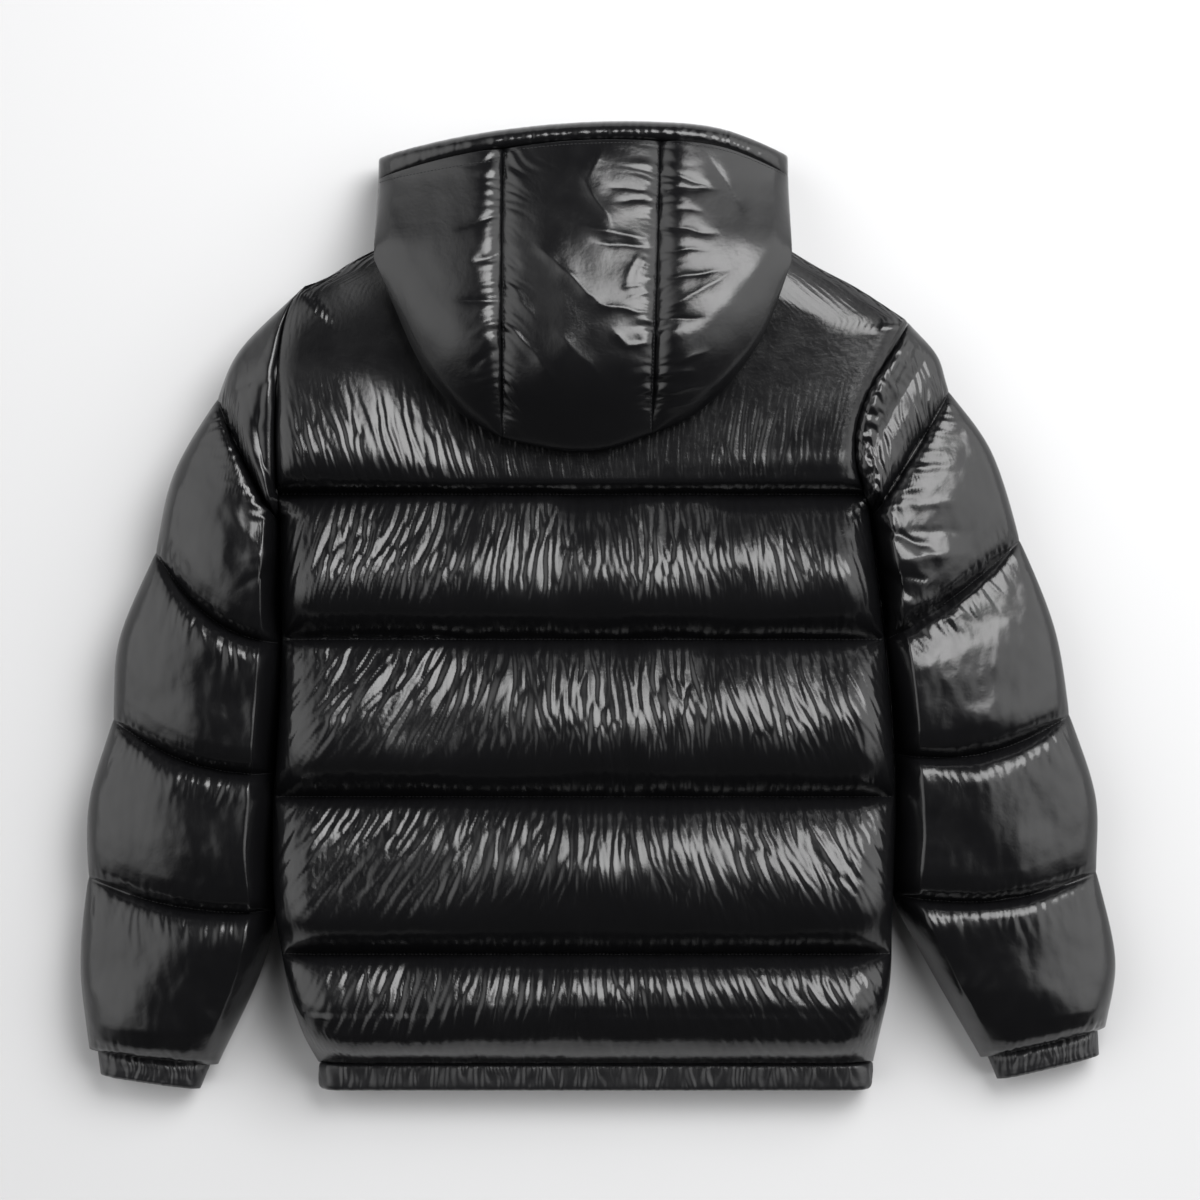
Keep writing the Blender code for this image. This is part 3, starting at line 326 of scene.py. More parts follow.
def object_from(name, corners, faces, material, sharp=80):
    """A smooth-shaded object of corners in millimetres, with its faces turned outwards."""
    corners = np.asarray(corners, float) * MM
    mesh = bpy.data.meshes.new(name)
    mesh.from_pydata(corners.tolist(), [], faces)
    mesh.update()
    mesh.calc_loop_triangles()
    numbers = np.empty(len(mesh.loop_triangles) * 3, np.int32)
    mesh.loop_triangles.foreach_get("vertices", numbers)
    a, b, c = (corners[numbers.reshape(-1, 3)[:, k]] for k in range(3))
    if np.einsum("ij,ij->i", a, np.cross(b, c)).sum() < 0:
        mesh.flip_normals()
    mesh.materials.append(material)
    mesh.shade_smooth()
    mesh.set_sharp_from_angle(angle=math.radians(sharp))
    made = bpy.data.objects.new(name, mesh)
    collection("jacket_visual").objects.link(made)
    return made


def ring_faces(rows, columns, first=0):
    """Quads between rings of points, each ring closed on itself."""
    here = first + np.arange(rows - 1)[:, None] * columns + np.arange(columns)[None, :]
    beside = first + np.arange(rows - 1)[:, None] * columns + (np.arange(columns) + 1)[None, :] % columns
    return np.stack([here, beside, beside + columns, here + columns], axis=-1).reshape(-1, 4)


def loft(name, rings, material):
    """A closed solid through an array of rings, with a flat face at each end."""
    rows, columns = rings.shape[:2]
    faces = ring_faces(rows, columns).tolist()
    faces += [list(range(columns)), list(range((rows - 1) * columns, rows * columns))]
    return object_from(name, rings.reshape(-1, 3), faces, material)


def flat_tube(name, outer, inner, material):
    """A flattened tube, open at both ends. Each ring of both arrays has as many points."""
    count = outer.shape[1]
    start = outer.shape[0] * count
    faces = ring_faces(outer.shape[0], count).tolist() + ring_faces(inner.shape[0], count, start).tolist()
    here = np.arange(count)
    after = (here + 1) % count
    for rim, hole in ((0, start), (start - count, start + (inner.shape[0] - 1) * count)):
        faces += np.stack([rim + here, rim + after, hole + after, hole + here], -1).tolist()
    return object_from(name, np.vstack([outer.reshape(-1, 3), inner.reshape(-1, 3)]), faces, material)


def ring_of(top, low):
    """Closed rings over rows of points: along the upper ones, then back along the lower ones."""
    ends = (top + low) / 2
    return np.concatenate([ends[:, :1], top[:, 1:-1], ends[:, -1:], low[:, -2:0:-1]], 1)


def slit(plan, level):
    """Rings of the flat hollow inside a sleeve or a cuff."""
    return ring_of(raised(plan, level + SLIT / 2), raised(plan, level - SLIT / 2))


def underside(mid, u, width, reach):
    """Height of the underside of a flat tube, rounded up to its middle over a reach along both edges."""
    return mid * (1 - rounding(np.minimum(u, 1 - u)[None, :] * width / reach))


def normals_of(grid):
    """Unit normals of a grid of points, turned upwards."""
    across = np.gradient(grid, axis=1)
    along = np.gradient(grid, axis=0)
    made = np.cross(across, along)
    made /= np.maximum(np.linalg.norm(made, axis=-1, keepdims=True), 1e-9)
    return made * np.where(made[..., 2:].mean() < 0, -1.0, 1.0)


def spread(start, end, step, dense=(), reach=12.0, finest=0.45):
    """Values from start to end a step apart, closer together beside the dense places.

    The step may be a table of steps along the way.
    """
    fine = np.linspace(start, end, 4000)
    gap = line(step, fine) if np.ndim(step) else np.full(len(fine), float(step))
    for place in dense:
        gap = gap * (finest + (1 - finest) * np.clip(np.abs(fine - place) / reach, 0, 1))
    travelled = np.concatenate([[0], np.cumsum(np.abs(np.diff(fine)) / gap[1:])])
    wanted = np.linspace(0, travelled[-1], int(round(travelled[-1])) + 1)
    return np.interp(wanted, travelled, fine)


# ---- cloth

def blurred(field, rows, columns):
    """A field averaged over a window of grid steps, mirrored at its edges."""
    for axis, reach in ((0, rows), (1, columns)):
        pad = [(0, 0), (0, 0)]
        pad[axis] = (reach + 1, reach)
        total = np.cumsum(np.pad(field, pad, mode="reflect"), axis=axis)
        size = field.shape[axis]
        high, low = (np.take(total, np.arange(size) + shift, axis=axis) for shift in (2 * reach + 1, 0))
        field = (high - low) / (2 * reach + 1)
    return field


def pull(cloth, held, first, second, rest, firmness):
    """Moves the pairs of points towards their rest length, but no point that is held."""
    apart = cloth[second] - cloth[first]
    length = np.maximum(np.sqrt((apart * apart).sum(-1)), 1e-9)
    move = apart * (0.5 * firmness * (length - rest) / length)[..., None]
    cloth[first] += move * held[first][..., None]
    cloth[second] -= move * held[second][..., None]


def pairs(row_step, column_step):
    """Index pairs of a grid a step apart, in two sets: every other row, or column if row_step is 0."""
    def every_other(start, step):
        return slice(start, -step, 2), slice(start + step, None, 2)

    def every(step):
        first, second = (slice(max(0, -by), -by if by > 0 else None) for by in (step, -step))
        return first, second

    found = []
    for start in (0, 1):
        rows = every_other(start, row_step) if row_step else every(0)
        columns = every(column_step) if row_step else every_other(start, column_step)
        found.append(tuple(zip(rows, columns)))
    return found


# The springs of the cloth: rows and columns that each spans, its firmness, and its share of the extra length.
SPRINGS = ((0, 1, 1.0, 1.0), (1, 0, 1.0, 0.0), (1, 1, 0.3, 0.5), (1, -1, 0.3, 0.5), (0, 2, 0.15, 1.0))
LENGTH_WINDOW = (4, 8)  # rows and columns each way over which lengths are averaged
LEVEL_WINDOW = (17, 12)  # and those over which the cloth is brought back to its smooth form
LEVEL_EVERY = 4  # rounds


def crumple(smooth, start, free, extra=0.01, rounds=80):
    """Turns the creases of a grid, start, into those of cloth that doesn't stretch.

    Each thread keeps the mean length that it has round about, a share extra longer across. free is 0
    where the cloth is sewn down.
    """
    up = normals_of(smooth)
    cloth = start.copy()

    def lengths(grid, first, second):
        return np.linalg.norm(grid[second] - grid[first], axis=-1)

    springs = []
    for row_step, column_step, firmness, share in SPRINGS:
        for first, second in pairs(row_step, column_step):
            plain = lengths(smooth, first, second)
            ratio = blurred(lengths(start, first, second) / plain, *LENGTH_WINDOW)
            springs.append((first, second, plain * ratio * (1 + extra * share), firmness))
    for turn in range(rounds):
        for first, second, rest, firmness in springs:
            pull(cloth, free, first, second, rest, firmness)
        if turn % LEVEL_EVERY == LEVEL_EVERY - 1:
            out = ((cloth - smooth) * up).sum(-1)
            level = blurred(blurred(out, *LEVEL_WINDOW), *LEVEL_WINDOW)
            cloth -= up * (level * free)[..., None]
    return cloth


# ---- materials

def feed(tree, node, inputs):
    """Gives inputs of a node their values, or links them to sockets."""
    for key, value in inputs.items():
        socket = node.inputs[key.replace("_", " ")]
        if isinstance(value, bpy.types.NodeSocket):
            tree.links.new(value, socket)
        else:
            socket.default_value = value


def add_node(tree, kind, settings=None, **inputs):
    """A node with attributes from settings, and inputs that are values or sockets to link."""
    node = tree.nodes.new(kind)
    for key, value in (settings or {}).items():
        setattr(node, key, value)
    feed(tree, node, inputs)
    return node


def new_material(name, colour, **inputs):
    """A material, its node tree and its shader."""
    made = bpy.data.materials.new(name)
    made.use_nodes = True
    tree = made.node_tree
    shader = tree.nodes["Principled BSDF"]
    feed(tree, shader, {"Base_Color": (*colour, 1), **inputs})
    return made, tree, shader


def cloud(tree, where, scale, detail, **inputs):
    """A noise from about 0.3 to 0.7 over the object."""
    return add_node(tree, "ShaderNodeTexNoise", {"noise_dimensions": "3D"}, Vector=where, Scale=scale,
                    Detail=detail, **inputs).outputs["Fac"]


def bumped(tree, height, strength, distance, **inputs):
    """The normal of a surface with a bump of a height; distance in metres."""
    return add_node(tree, "ShaderNodeBump", Strength=strength, Distance=distance, Height=height,
                    **inputs).outputs["Normal"]


def uneven(tree, where, scale, low, high):
    """A value that wanders between low and high over the surface."""
    return add_node(tree, "ShaderNodeMapRange", Value=cloud(tree, where, scale, 2.0), From_Min=0.3,
                    From_Max=0.7, To_Min=low, To_Max=high).outputs["Result"]


FABRIC_IOR = 1.45
WEAVE_DEPTH = 0.00004  # metres
WAVE_TURN = 20.0  # a wave texture of scale 1 has a wave each 2 pi / 20


def fabric(name, colour, roughness, pitch, crinkle_scale, crinkle_depth):
    """A plain weave over a fine crinkle; pitch and depth in metres."""
    made, tree, shader = new_material(name, colour, IOR=FABRIC_IOR)
    where = add_node(tree, "ShaderNodeTexCoord").outputs["Object"]
    normal = bumped(tree, cloud(tree, where, crinkle_scale, 3.0, Roughness=0.55), 0.25, crinkle_depth)
    for direction in ("X", "Y"):
        threads = add_node(tree, "ShaderNodeTexWave", {"bands_direction": direction}, Vector=where,
                           Scale=2 * math.pi / (WAVE_TURN * pitch), Distortion=0.4, Detail=1.0)
        normal = bumped(tree, threads.outputs["Fac"], 0.12, WEAVE_DEPTH, Normal=normal)
    feed(tree, shader, {"Normal": normal, "Roughness": uneven(tree, where, 45.0, *roughness)})
    return made


def smooth_part(name, colour, metallic, roughness, scale):
    """Moulded plastic or cast metal with a fine grain."""
    made, tree, shader = new_material(name, colour, Metallic=metallic)
    where = add_node(tree, "ShaderNodeTexCoord").outputs["Object"]
    normal = bumped(tree, cloud(tree, where, scale, 4.0), 0.2, 0.00005)
    feed(tree, shader, {"Normal": normal, "Roughness": uneven(tree, where, scale / 8, *roughness)})
    return made


SHELL = fabric("black_shell_nylon", (0.0045, 0.0045, 0.005), (0.17, 0.24), 0.0005, 220.0, 0.0006)
BAND = fabric("black_gathered_band", (0.010, 0.010, 0.011), (0.3, 0.4), 0.0006, 300.0, 0.0005)
TAPE = fabric("black_zip_tape", (0.012, 0.012, 0.013), (0.55, 0.7), 0.0007, 500.0, 0.0001)
THREAD = fabric("black_sewing_thread", (0.008, 0.008, 0.009), (0.45, 0.6), 0.0003, 2000.0, 0.00005)
TEETH = smooth_part("black_moulded_teeth", (0.012, 0.012, 0.013), 0.0, (0.25, 0.38), 900.0)
METAL = smooth_part("dark_gunmetal", (0.07, 0.07, 0.075), 1.0, (0.24, 0.4), 1400.0)


# ---- back

# How far the creases of each baffle lean outwards on their way down, in mm a mm: (x, lean).
LEANS = (
    ((-250, -0.4), (-180, -0.4), (-100, -0.35), (-40, -0.2), (0, 0.0), (60, 0.1), (250, 0.3)),
    ((-250, 0.3), (-180, 0.3), (-120, 0.22), (-60, 0.1), (0, -0.02), (60, -0.12), (120, -0.16),
     (250, -0.35)),
    ((-250, 0.72), (-200, 0.66), (-140, 0.48), (-90, 0.2), (-40, 0.0), (40, -0.12), (140, -0.3),
     (250, -0.5)),
    ((-250, 0.75), (-200, 0.7), (-140, 0.52), (-80, 0.33), (-20, 0.05), (60, -0.2), (140, -0.45),
     (250, -0.65)),
    ((-250, 0.5), (-180, 0.4), (-100, 0.2), (0, -0.05), (100, -0.4), (250, -0.7)),
)
# How far apart the rows of the back's mesh lie: (y, mm). They are closest where the creases are.
BACK_ROWS = ((-371, 4), (-355, 4), (-330, 2.2), (-289, 2.2), (-275, 4), (-250, 4), (-225, 2.2), (-162, 2.2),
             (-148, 4), (-125, 4), (-100, 2.2), (-34, 2.2), (-20, 4), (5, 4), (30, 2.2), (84, 2.2), (98, 3.0),
             (200, 3.0), (210, 3.8), (291, 3.8))
BACK_COLUMNS = 380
EDGE_STEPS = 260  # places along the body's edge from which distances are taken
CREASE_SETS = ((0.13, 7.4, 0.8), (-0.13, 8.6, 0.8), (0.0, 4.8, 0.35))  # tilt, width and strength
SHORT_CREASES = 0.3  # strength of the short creases that run up from a line of quilting
FOLD_HEIGHT = 1.3
FOLD_LEAN = 1.2  # how far a crease leans over towards -X, so that its face towards +X is the broad one
YOKE_CREASED = ((-110, 1.0), (-60, 0.35), (60, 0.35), (110, 0.5), (180, 0.25))  # x, strength of the creases


def outside_hood(x, y):
    """How far points of the back lie outside the hood's outline; negative under the hood."""
    across = np.linspace(*HOOD_X, 60)
    crown = np.column_stack([across, curve(HOOD_CROWN, across)])
    up = np.linspace(HOOD_CROWN[0][1], NECK_Y, 4)
    sides = [np.column_stack([np.full(len(up), edge), up]) for edge in HOOD_X]
    far = np.full(x.shape, FAR)
    for px, py in np.vstack([crown, *sides]):
        far = np.minimum(far, np.hypot(x - px, y - py))
    under = (HOOD_X[0] < x) & (x < HOOD_X[1]) & (y > curve(HOOD_CROWN, x))
    return np.where(under, -far, far)


def creases(p, d, wide, long, seed):
    """Rounded folds with sharp valleys between them, running along d."""
    warp = noise(p / (wide * 3), d / (long * 0.6), seed + 7) * wide * 0.5
    fold = noise((p + warp) / wide, d / long, seed)
    return np.abs(fold) ** 0.9 * 1.5 - 0.5


def by_baffle(number, tables, x, first=0):
    """Reads at each point the table of its own baffle; 0 where it has none."""
    found = np.zeros(x.shape)
    for k, table in enumerate(tables, first):
        found = np.where(number == k, line(table, x), found)
    return found


def body_creases(x, y):
    """Creases of the back: long ones down from a baffle's upper line, short ones up from its lower line."""
    number, share, height = baffles(y)
    down = share * height
    up = height - down
    lean = by_baffle(number, LEANS, x)
    fade_short = ease(2, 9, up) * (1 - ease(14, 34, up))
    total = np.zeros(x.shape)
    for k in range(len(QUILT_Y) - 1):
        fade = ease(0, 6, down) * (1 - 0.75 * ease(0.6, 0.85, share))
        if k == 0:
            fade = ease(0.5, 0.8, share) * (1 - 0.5 * ease(0.93, 1.0, share)) * line(YOKE_CREASED, x)
        for tilt, wide, strength in CREASE_SETS:
            seed = k * 17 + int(wide)
            long = creases(x + (lean + tilt) * down, down, wide, 75.0, 31 + seed)
            short = creases(x - (0.5 * lean + tilt) * up, up, wide * 0.9, 40.0, 431 + seed)
            both = long * fade + SHORT_CREASES * short * fade_short
            total = np.where(number == k, total + strength * both, total)
    return total * (1 + 0.5 * noise(x / 55, y / 70, 21))


def banked(share):
    """Height down a baffle that climbs evenly from its upper line to a low crest, from 0 to 1."""
    climb = 1 - (1 - np.clip(share / BANK_CREST, 0, 1)) ** 1.5
    fall = 1 - np.clip((share - BANK_CREST) / (1 - BANK_CREST), 0, 1) ** 2.4
    return mix(climb, rounding(share / BANK_NEAR), BANK_STEP) * fall


def back_bulk(x, rows, number, share):
    """Thickness of the back away from its edges, and how much of a bank each point has."""
    sunk = share ** np.array((1.0, *CRESTS))[number]
    low = np.where((number == len(QUILT_Y) - 2) & (share > 0.5), HEM_WALL, QUILT_WALL)
    low = low + 0.9 * noise(x / 6.5, number, 8)
    swell = 1 + 0.07 * noise(x / 70, rows / 60, 5) + 0.03 * noise(x / 34, rows / 45, 6)
    bank = np.clip(by_baffle(number, BANKED, x, 1) + 0.15 * noise(x / 45, number, 9), 0, 1)
    full = mix(low, PUFF_WALL, mix(np.sin(math.pi * sunk) ** PUFF_POWER, banked(share), bank) * swell)
    yoke = mix(curve(YOKE_LEFT, rows), curve(YOKE_RIGHT, rows), ease(*YOKE_CHANGE, x))
    return np.where(number == 0, yoke, full), bank


def back_wall(x, rows, left, right, full):
    """Thickness of the back: full inside, and rounded down along the body's edge."""
    wall = np.full(x.shape, FAR)
    edge_y = np.linspace(NECK_Y, HEM_Y, EDGE_STEPS)
    for side, beyond in (("left", x - left), ("right", right - x)):
        far = np.full(x.shape, FAR)
        at = np.zeros(x.shape)
        for ex, ey in zip(body_edge(side, edge_y), edge_y):
            here = np.hypot(x - ex, rows - ey)
            closer = here < far
            far, at = np.where(closer, here, far), np.where(closer, ey, at)
        edge = edge_wall(side, at)
        inside = rounding(np.minimum(far, beyond) / line(EDGE_ROUNDS, at))
        wall = np.minimum(wall, mix(edge, full, inside))
    return wall


def make_back():
    y = spread(NECK_Y, HEM_Y, BACK_ROWS, QUILT_Y, 10.0)
    u = spread(0, 1, 1 / BACK_COLUMNS, (0, 1), 0.03, 0.4)
    left, right = (body_edge(side, y)[:, None] for side in OUTWARD)
    x = mix(left, right, u[None, :])
    rows = np.broadcast_to(y[:, None], x.shape)
    number, share, height = baffles(rows)
    full, bank = back_bulk(x, rows, number, share)
    under = line(LAYER_ROWS, rows) + SEAM_GAP / 2
    free = ease(NEST_MARGIN, NEST_MARGIN + NEST_ROUND, outside_hood(x, rows))
    z = under + back_wall(x, rows, left, right, full)
    z = np.where(z > NEST_TOP, NEST_TOP + (z - NEST_TOP) * free, z)
    grid = points(x, rows, z)
    inside = np.minimum(x - left, right - x)
    fold = body_creases(x + FOLD_LEAN * body_creases(x, rows), rows)
    fold = FOLD_HEIGHT * fold * ease(2, 20, inside) * (0.3 + 0.7 * free)
    fold = fold * np.where(number == 0, 1, 0.4 + 0.7 * bank)
    loose = ease(0.5, 3, np.minimum(share, 1 - share) * height) * ease(0, 4, inside)
    grid = crumple(grid, grid + normals_of(grid) * fold[..., None], loose)
    floor = np.stack([points(right[:, 0], y, under[:, -1]), points(left[:, 0], y, under[:, 0])], 1)
    sewn = [grid[np.abs(y - quilted).argmin()] for quilted in QUILT_Y[1:-1]]
    return loft("back_panel", np.concatenate([grid, floor], 1), SHELL), sewn


def make_front(side):
    y = spread(NECK_Y, HEM_Y, 3.5, QUILT_Y)
    _, share, _ = baffles(y)
    puff = np.sin(math.pi * np.clip(share, 0, 1)) ** PUFF_POWER
    over = line(LAYER_ROWS, y) - SEAM_GAP / 2
    edge = body_edge(side, y)
    inward = -OUTWARD[side]
    wall = np.minimum(edge_wall(side, y), over)
    reach = mix(*UNDER_ROUND, puff) * np.where(y > ARMHOLES[side].tip[1], SHOULDER_SLANT, 1.0)
    inset = np.linspace(0, 1, 22) ** 1.6
    x = edge[:, None] + inward * reach[:, None] * inset[None, :]
    z = (over - wall)[:, None] * (1 - rounding(inset))[None, :]
    rows = np.broadcast_to(y[:, None], x.shape)
    flute = noise(rows / 7.0, x / 60.0, 61) * 0.9 * ease(0.02, 0.3, inset)[None, :] * ease(0, 8, z)
    zip_edge = ZIP_X - inward * ZIP_HALF
    rest = np.stack([points(zip_edge, y, 0.0), points(zip_edge, y, over), points(edge, y, over)], 1)
    turn = points(x + inward * flute, rows, z)
    return loft(f"front_panel_{side}", np.concatenate([turn, rest], 1), SHELL)


# ---- folds placed one by one

def folded(x, y, folds):
    """Height of listed folds, rows of (x, y, end_x, end_y, height, width), that fade out at their ends.

    A fold is a ridge if its height is over 0, else a trough.
    """
    total = np.zeros(x.shape)
    bend = 1.5 * noise(x / 16, y / 16, 71)
    for start_x, start_y, end_x, end_y, height, width in folds:
        along = np.array((end_x - start_x, end_y - start_y), float)
        length = float(np.linalg.norm(along))
        along /= length
        t = (x - start_x) * along[0] + (y - start_y) * along[1]
        off = (y - start_y) * along[0] - (x - start_x) * along[1] + bend
        ends = ease(-0.25, 0.3, t / length) * (1 - ease(0.6, 1.2, t / length))
        total = total + height * np.exp(-np.abs(off) / width) * ends
    return total


# ---- sleeves and cuffs

def sleeve_values(side, seam):
    """The values of a sleeve's table at places along it, as columns."""
    rows = SLEEVES[side]
    names = ("outer_x", "outer_y", "inner_y", "sag", "mid")
    columns = {name: [getattr(row, name) for row in rows] for name in names}
    columns["inner_x"] = [float(body_edge(side, row.inner_y)) + OUTWARD[side] * SLEEVE_CLEARANCE
                          if row.inner_x is None else row.inner_x for row in rows]
    keys = [row.seam for row in rows]
    return {name: curve(list(zip(keys, column)), seam)[:, None] for name, column in columns.items()}


def sleeve_top(side, seam):
    """Height of a sleeve's ridge: full between two seams and drawn in at each."""
    rows = {row.seam: row.top for row in SLEEVES[side]}
    above = np.minimum(seam.astype(int), 4)
    share = seam - above
    first, last, full = (np.array([rows[k + step] for k in above], float) for step in (0, 1, 0.5))
    soft = np.isin(above, SOFT_BAFFLES[side])
    rise = np.where(soft, line(SLEEVE_PROFILE, share), line(STEEP_PROFILE, share))
    return mix(mix(first, last, share), full, rise)[:, None]


def sleeve_rise(side, seam, u):
    """Height across a sleeve, from 0 to 1: it climbs from its outer edge and turns down beside the body."""
    wide, share = SLEEVE_EDGE
    level, power = (mix(first, last, ease(*LEVEL_CHANGE, seam))
                    for first, last in zip(SLEEVE_LEVEL[side], SLEEVE_LEVEL["left"]))
    outer = mix(1 - (1 - np.clip(u / level, 0, 1)) ** power, rounding(u / wide), share)
    inner = 1 - np.clip((u - SLEEVE_WALL) / (1 - SLEEVE_WALL), 0, 1) ** 1.4
    return mix(arch(u), np.minimum(outer, inner), line(RIDGED, seam))


def grooves(seam, travelled):
    """Depth of the stitched grooves at places along a sleeve, wider above each seam than below it."""
    depth = np.zeros(len(travelled))
    for k in range(1, 5):
        away = travelled - np.interp(k, seam, travelled)
        width = np.where(away < 0, GROOVE_WIDTHS[0], GROOVE_WIDTHS[1])
        depth = np.maximum(depth, GROOVE_DEPTH * np.exp(-np.abs(away) / width))
    return depth[:, None]


def sleeve_plan(side, seam, u):
    """Plan of a sleeve's rows, bowed like the armhole at its top and notched at its seams, and its values."""
    at = sleeve_values(side, seam)
    hole = ARMHOLES[side]
    bow = armhole_x(side, mix(hole.tip[1], hole.pit[1], u)) - mix(hole.tip[0], hole.pit[0], u)
    x = mix(at["outer_x"], at["inner_x"], u)
    x = x + np.maximum(0, 1 - seam)[:, None] * bow + OUTWARD[side] * SEAM_GAP
    y = mix(at["outer_y"], at["inner_y"], u) - at["sag"] * np.sin(math.pi * u)
    share = seam - np.minimum(seam.astype(int), 4)
    bulge = NOTCH * (np.sin(math.pi * share) ** 0.5 - 0.6) * ease(0, 1, seam) * ease(0, 1, 5 - seam)
    x = x + OUTWARD[side] * bulge[:, None] * np.clip(1 - 2.5 * u, 0, 1) ** 2
    return np.stack([x, y], -1), at


# At each seam of a sleeve: how its puckers slant towards the body, in mm a mm, and how strong they are.
SLEEVE_PUCKERS = {
    "left": ((0.15, 0.0), (1.05, 1.6), (-0.25, 1.2), (0.0, 1.0), (-0.1, 1.0), (0.1, 1.0)),
    "right": ((0.15, 0.6), (1.05, 1.5), (0.45, 1.5), (0.1, 1.0), (0.0, 1.0), (0.1, 1.0)),
}

PUCKER_LENGTHS = ((1, 34), (-1, 20))  # below a seam and above it
SLEEVE_SEEDS = {"left": 900, "right": 1300}
CAP_STREAKS = {"left": 0.2, "right": 0.8}
ARMHOLE_FOLDS = {
    "left": (
        (-254, 200, -270, 172, -2.4, 5), (-268, 178, -272, 140, -3.0, 5), (-273, 145, -266, 112, -3.0, 5),
        (-268, 118, -255, 88, -2.6, 4), (-262, 190, -292, 176, -1.2, 5), (-262, 45, -284, 40, 2.0, 4),
        (-262, 30, -290, 16, -1.6, 4),
    ),
    "right": (
        (250, 63, 298, 62, -1.3, 2.5), (240, 38, 294, 46, 4.5, 13), (236, 0, 276, 8, 4.0, 13),
        (222, 66, 266, 50, -4.0, 4), (226, 34, 250, 10, -3.5, 6), (250, 84, 290, 86, 1.2, 3),
        (236, 28, 262, 24, -1.5, 3), (262, -12, 300, -2, 1.6, 5),
    ),
}
SLEEVE_MESH = (250, 110)  # rows and columns
CUFF_MESH = (26, 150)
CUFF_SEEDS = {"left": 77, "right": 99}


def sleeve_creases(plan, seam, side, travelled):
    """Short folds that run along the sleeve from each of its seams."""
    seed = SLEEVE_SEEDS[side]
    width = np.linalg.norm(np.diff(plan, axis=1), axis=-1)
    across = np.concatenate([np.zeros((len(plan), 1)), np.cumsum(width, 1)], 1)
    total = np.zeros(across.shape)
    for k, (slant, strength) in enumerate(SLEEVE_PUCKERS[side]):
        away = (travelled - np.interp(k, seam, travelled))[:, None]
        for way, length in PUCKER_LENGTHS:
            reach = length * (1 + 0.6 * noise(across / 30.0, k, seed + k + way))
            d = np.maximum(way * away, 0)
            lean = slant if way > 0 else 0.3 * slant
            one = seed + 10 * k + way
            fold = creases(across + lean * d, d, 8.0, 60.0, one)
            fold = fold + 0.4 * creases(across + (lean - 0.25) * d, d, 4.5, 30.0, one + 5)
            fade = ease(0, 4, d) * (1 - ease(0.3, 1.0, d / reach))
            total += strength * np.where(way * away > 0, fold * fade, 0)
    return total


def sleeve_folds(side, plan, travel, travelled, u):
    """All creases of a sleeve: off its seams, soft ones, the streaks of its cap and those at the armhole."""
    x, y = plan[..., 0], plan[..., 1]
    edge = ease(0.0, 0.12, np.minimum(u, 1 - u))[None, :]
    fold = sleeve_creases(plan, travel, side, travelled) * edge
    soft = 0.6 * noise(x / 19, y / 26, 31) + 0.25 * noise(x / 8, y / 13, 32)
    cap = CAP_STREAKS[side] * ease(1.0, 0.8, travel)[:, None] * ease(0.1, 0.35, travel)[:, None]
    fold = fold + edge * (soft + cap * creases(x + 0.25 * y, y, 5.5, 45.0, 51))
    fold = fold + folded(x, y, ARMHOLE_FOLDS[side]) * ease(0, 0.05, 1 - u)[None, :]
    if side == "right":
        beside = np.abs(x - body_edge(side, y)) + 40 * ease(60, 40, y)
        loops = np.abs(noise(x / 7.5, y / 12.0, 77)) - 0.3
        fold = fold + 2.6 * loops * (1 - ease(8, 26, beside)) * edge
    return fold


def make_sleeve(side):
    rows, columns = SLEEVE_MESH
    travel = spread(0, 5, 5 / rows, range(6), 0.09, 0.35)
    u = spread(0, 1, 1 / columns, (0, 1), 0.1, 0.3)
    plan, at = sleeve_plan(side, travel, u[None, :])
    travelled = travel_of(plan[:, plan.shape[1] // 2])
    rise = sleeve_rise(side, travel[:, None], u[None, :])
    mid = at["mid"]
    swell = 1 + 0.07 * noise(plan[..., 0] / 55, plan[..., 1] / 50, 15)
    upper = mid + (sleeve_top(side, travel) - grooves(travel, travelled) - mid) * rise * swell
    width = np.linalg.norm(plan[:, 0] - plan[:, -1], axis=-1)[:, None]
    lower = underside(mid, u, width, np.minimum(SLEEVE_UNDER, width / 3))
    grid = raised(plan, upper)
    near = np.min([np.abs(travelled - np.interp(k, travel, travelled)) for k in range(6)], axis=0)[:, None]
    loose = ease(0.5, 3, near) * ease(0, 0.04, np.minimum(u, 1 - u))[None, :]
    fold = sleeve_folds(side, plan, travel, travelled, u) * (near > 0)
    grid = crumple(grid, grid + normals_of(grid) * fold[..., None], loose, 0.0, 24)
    inside, at = sleeve_plan(side, np.arange(6.0), u[None, :])
    inside = inside[:, np.clip(np.arange(len(u)), 1, len(u) - 2)]
    hollow = slit(inside, np.broadcast_to(at["mid"], inside.shape[:2]))
    sewn = [grid[np.abs(travel - k).argmin(), 3:-3] for k in range(1, 5)]
    return flat_tube(f"sleeve_panel_{side}", ring_of(grid, raised(plan, lower)), hollow, SHELL), sewn


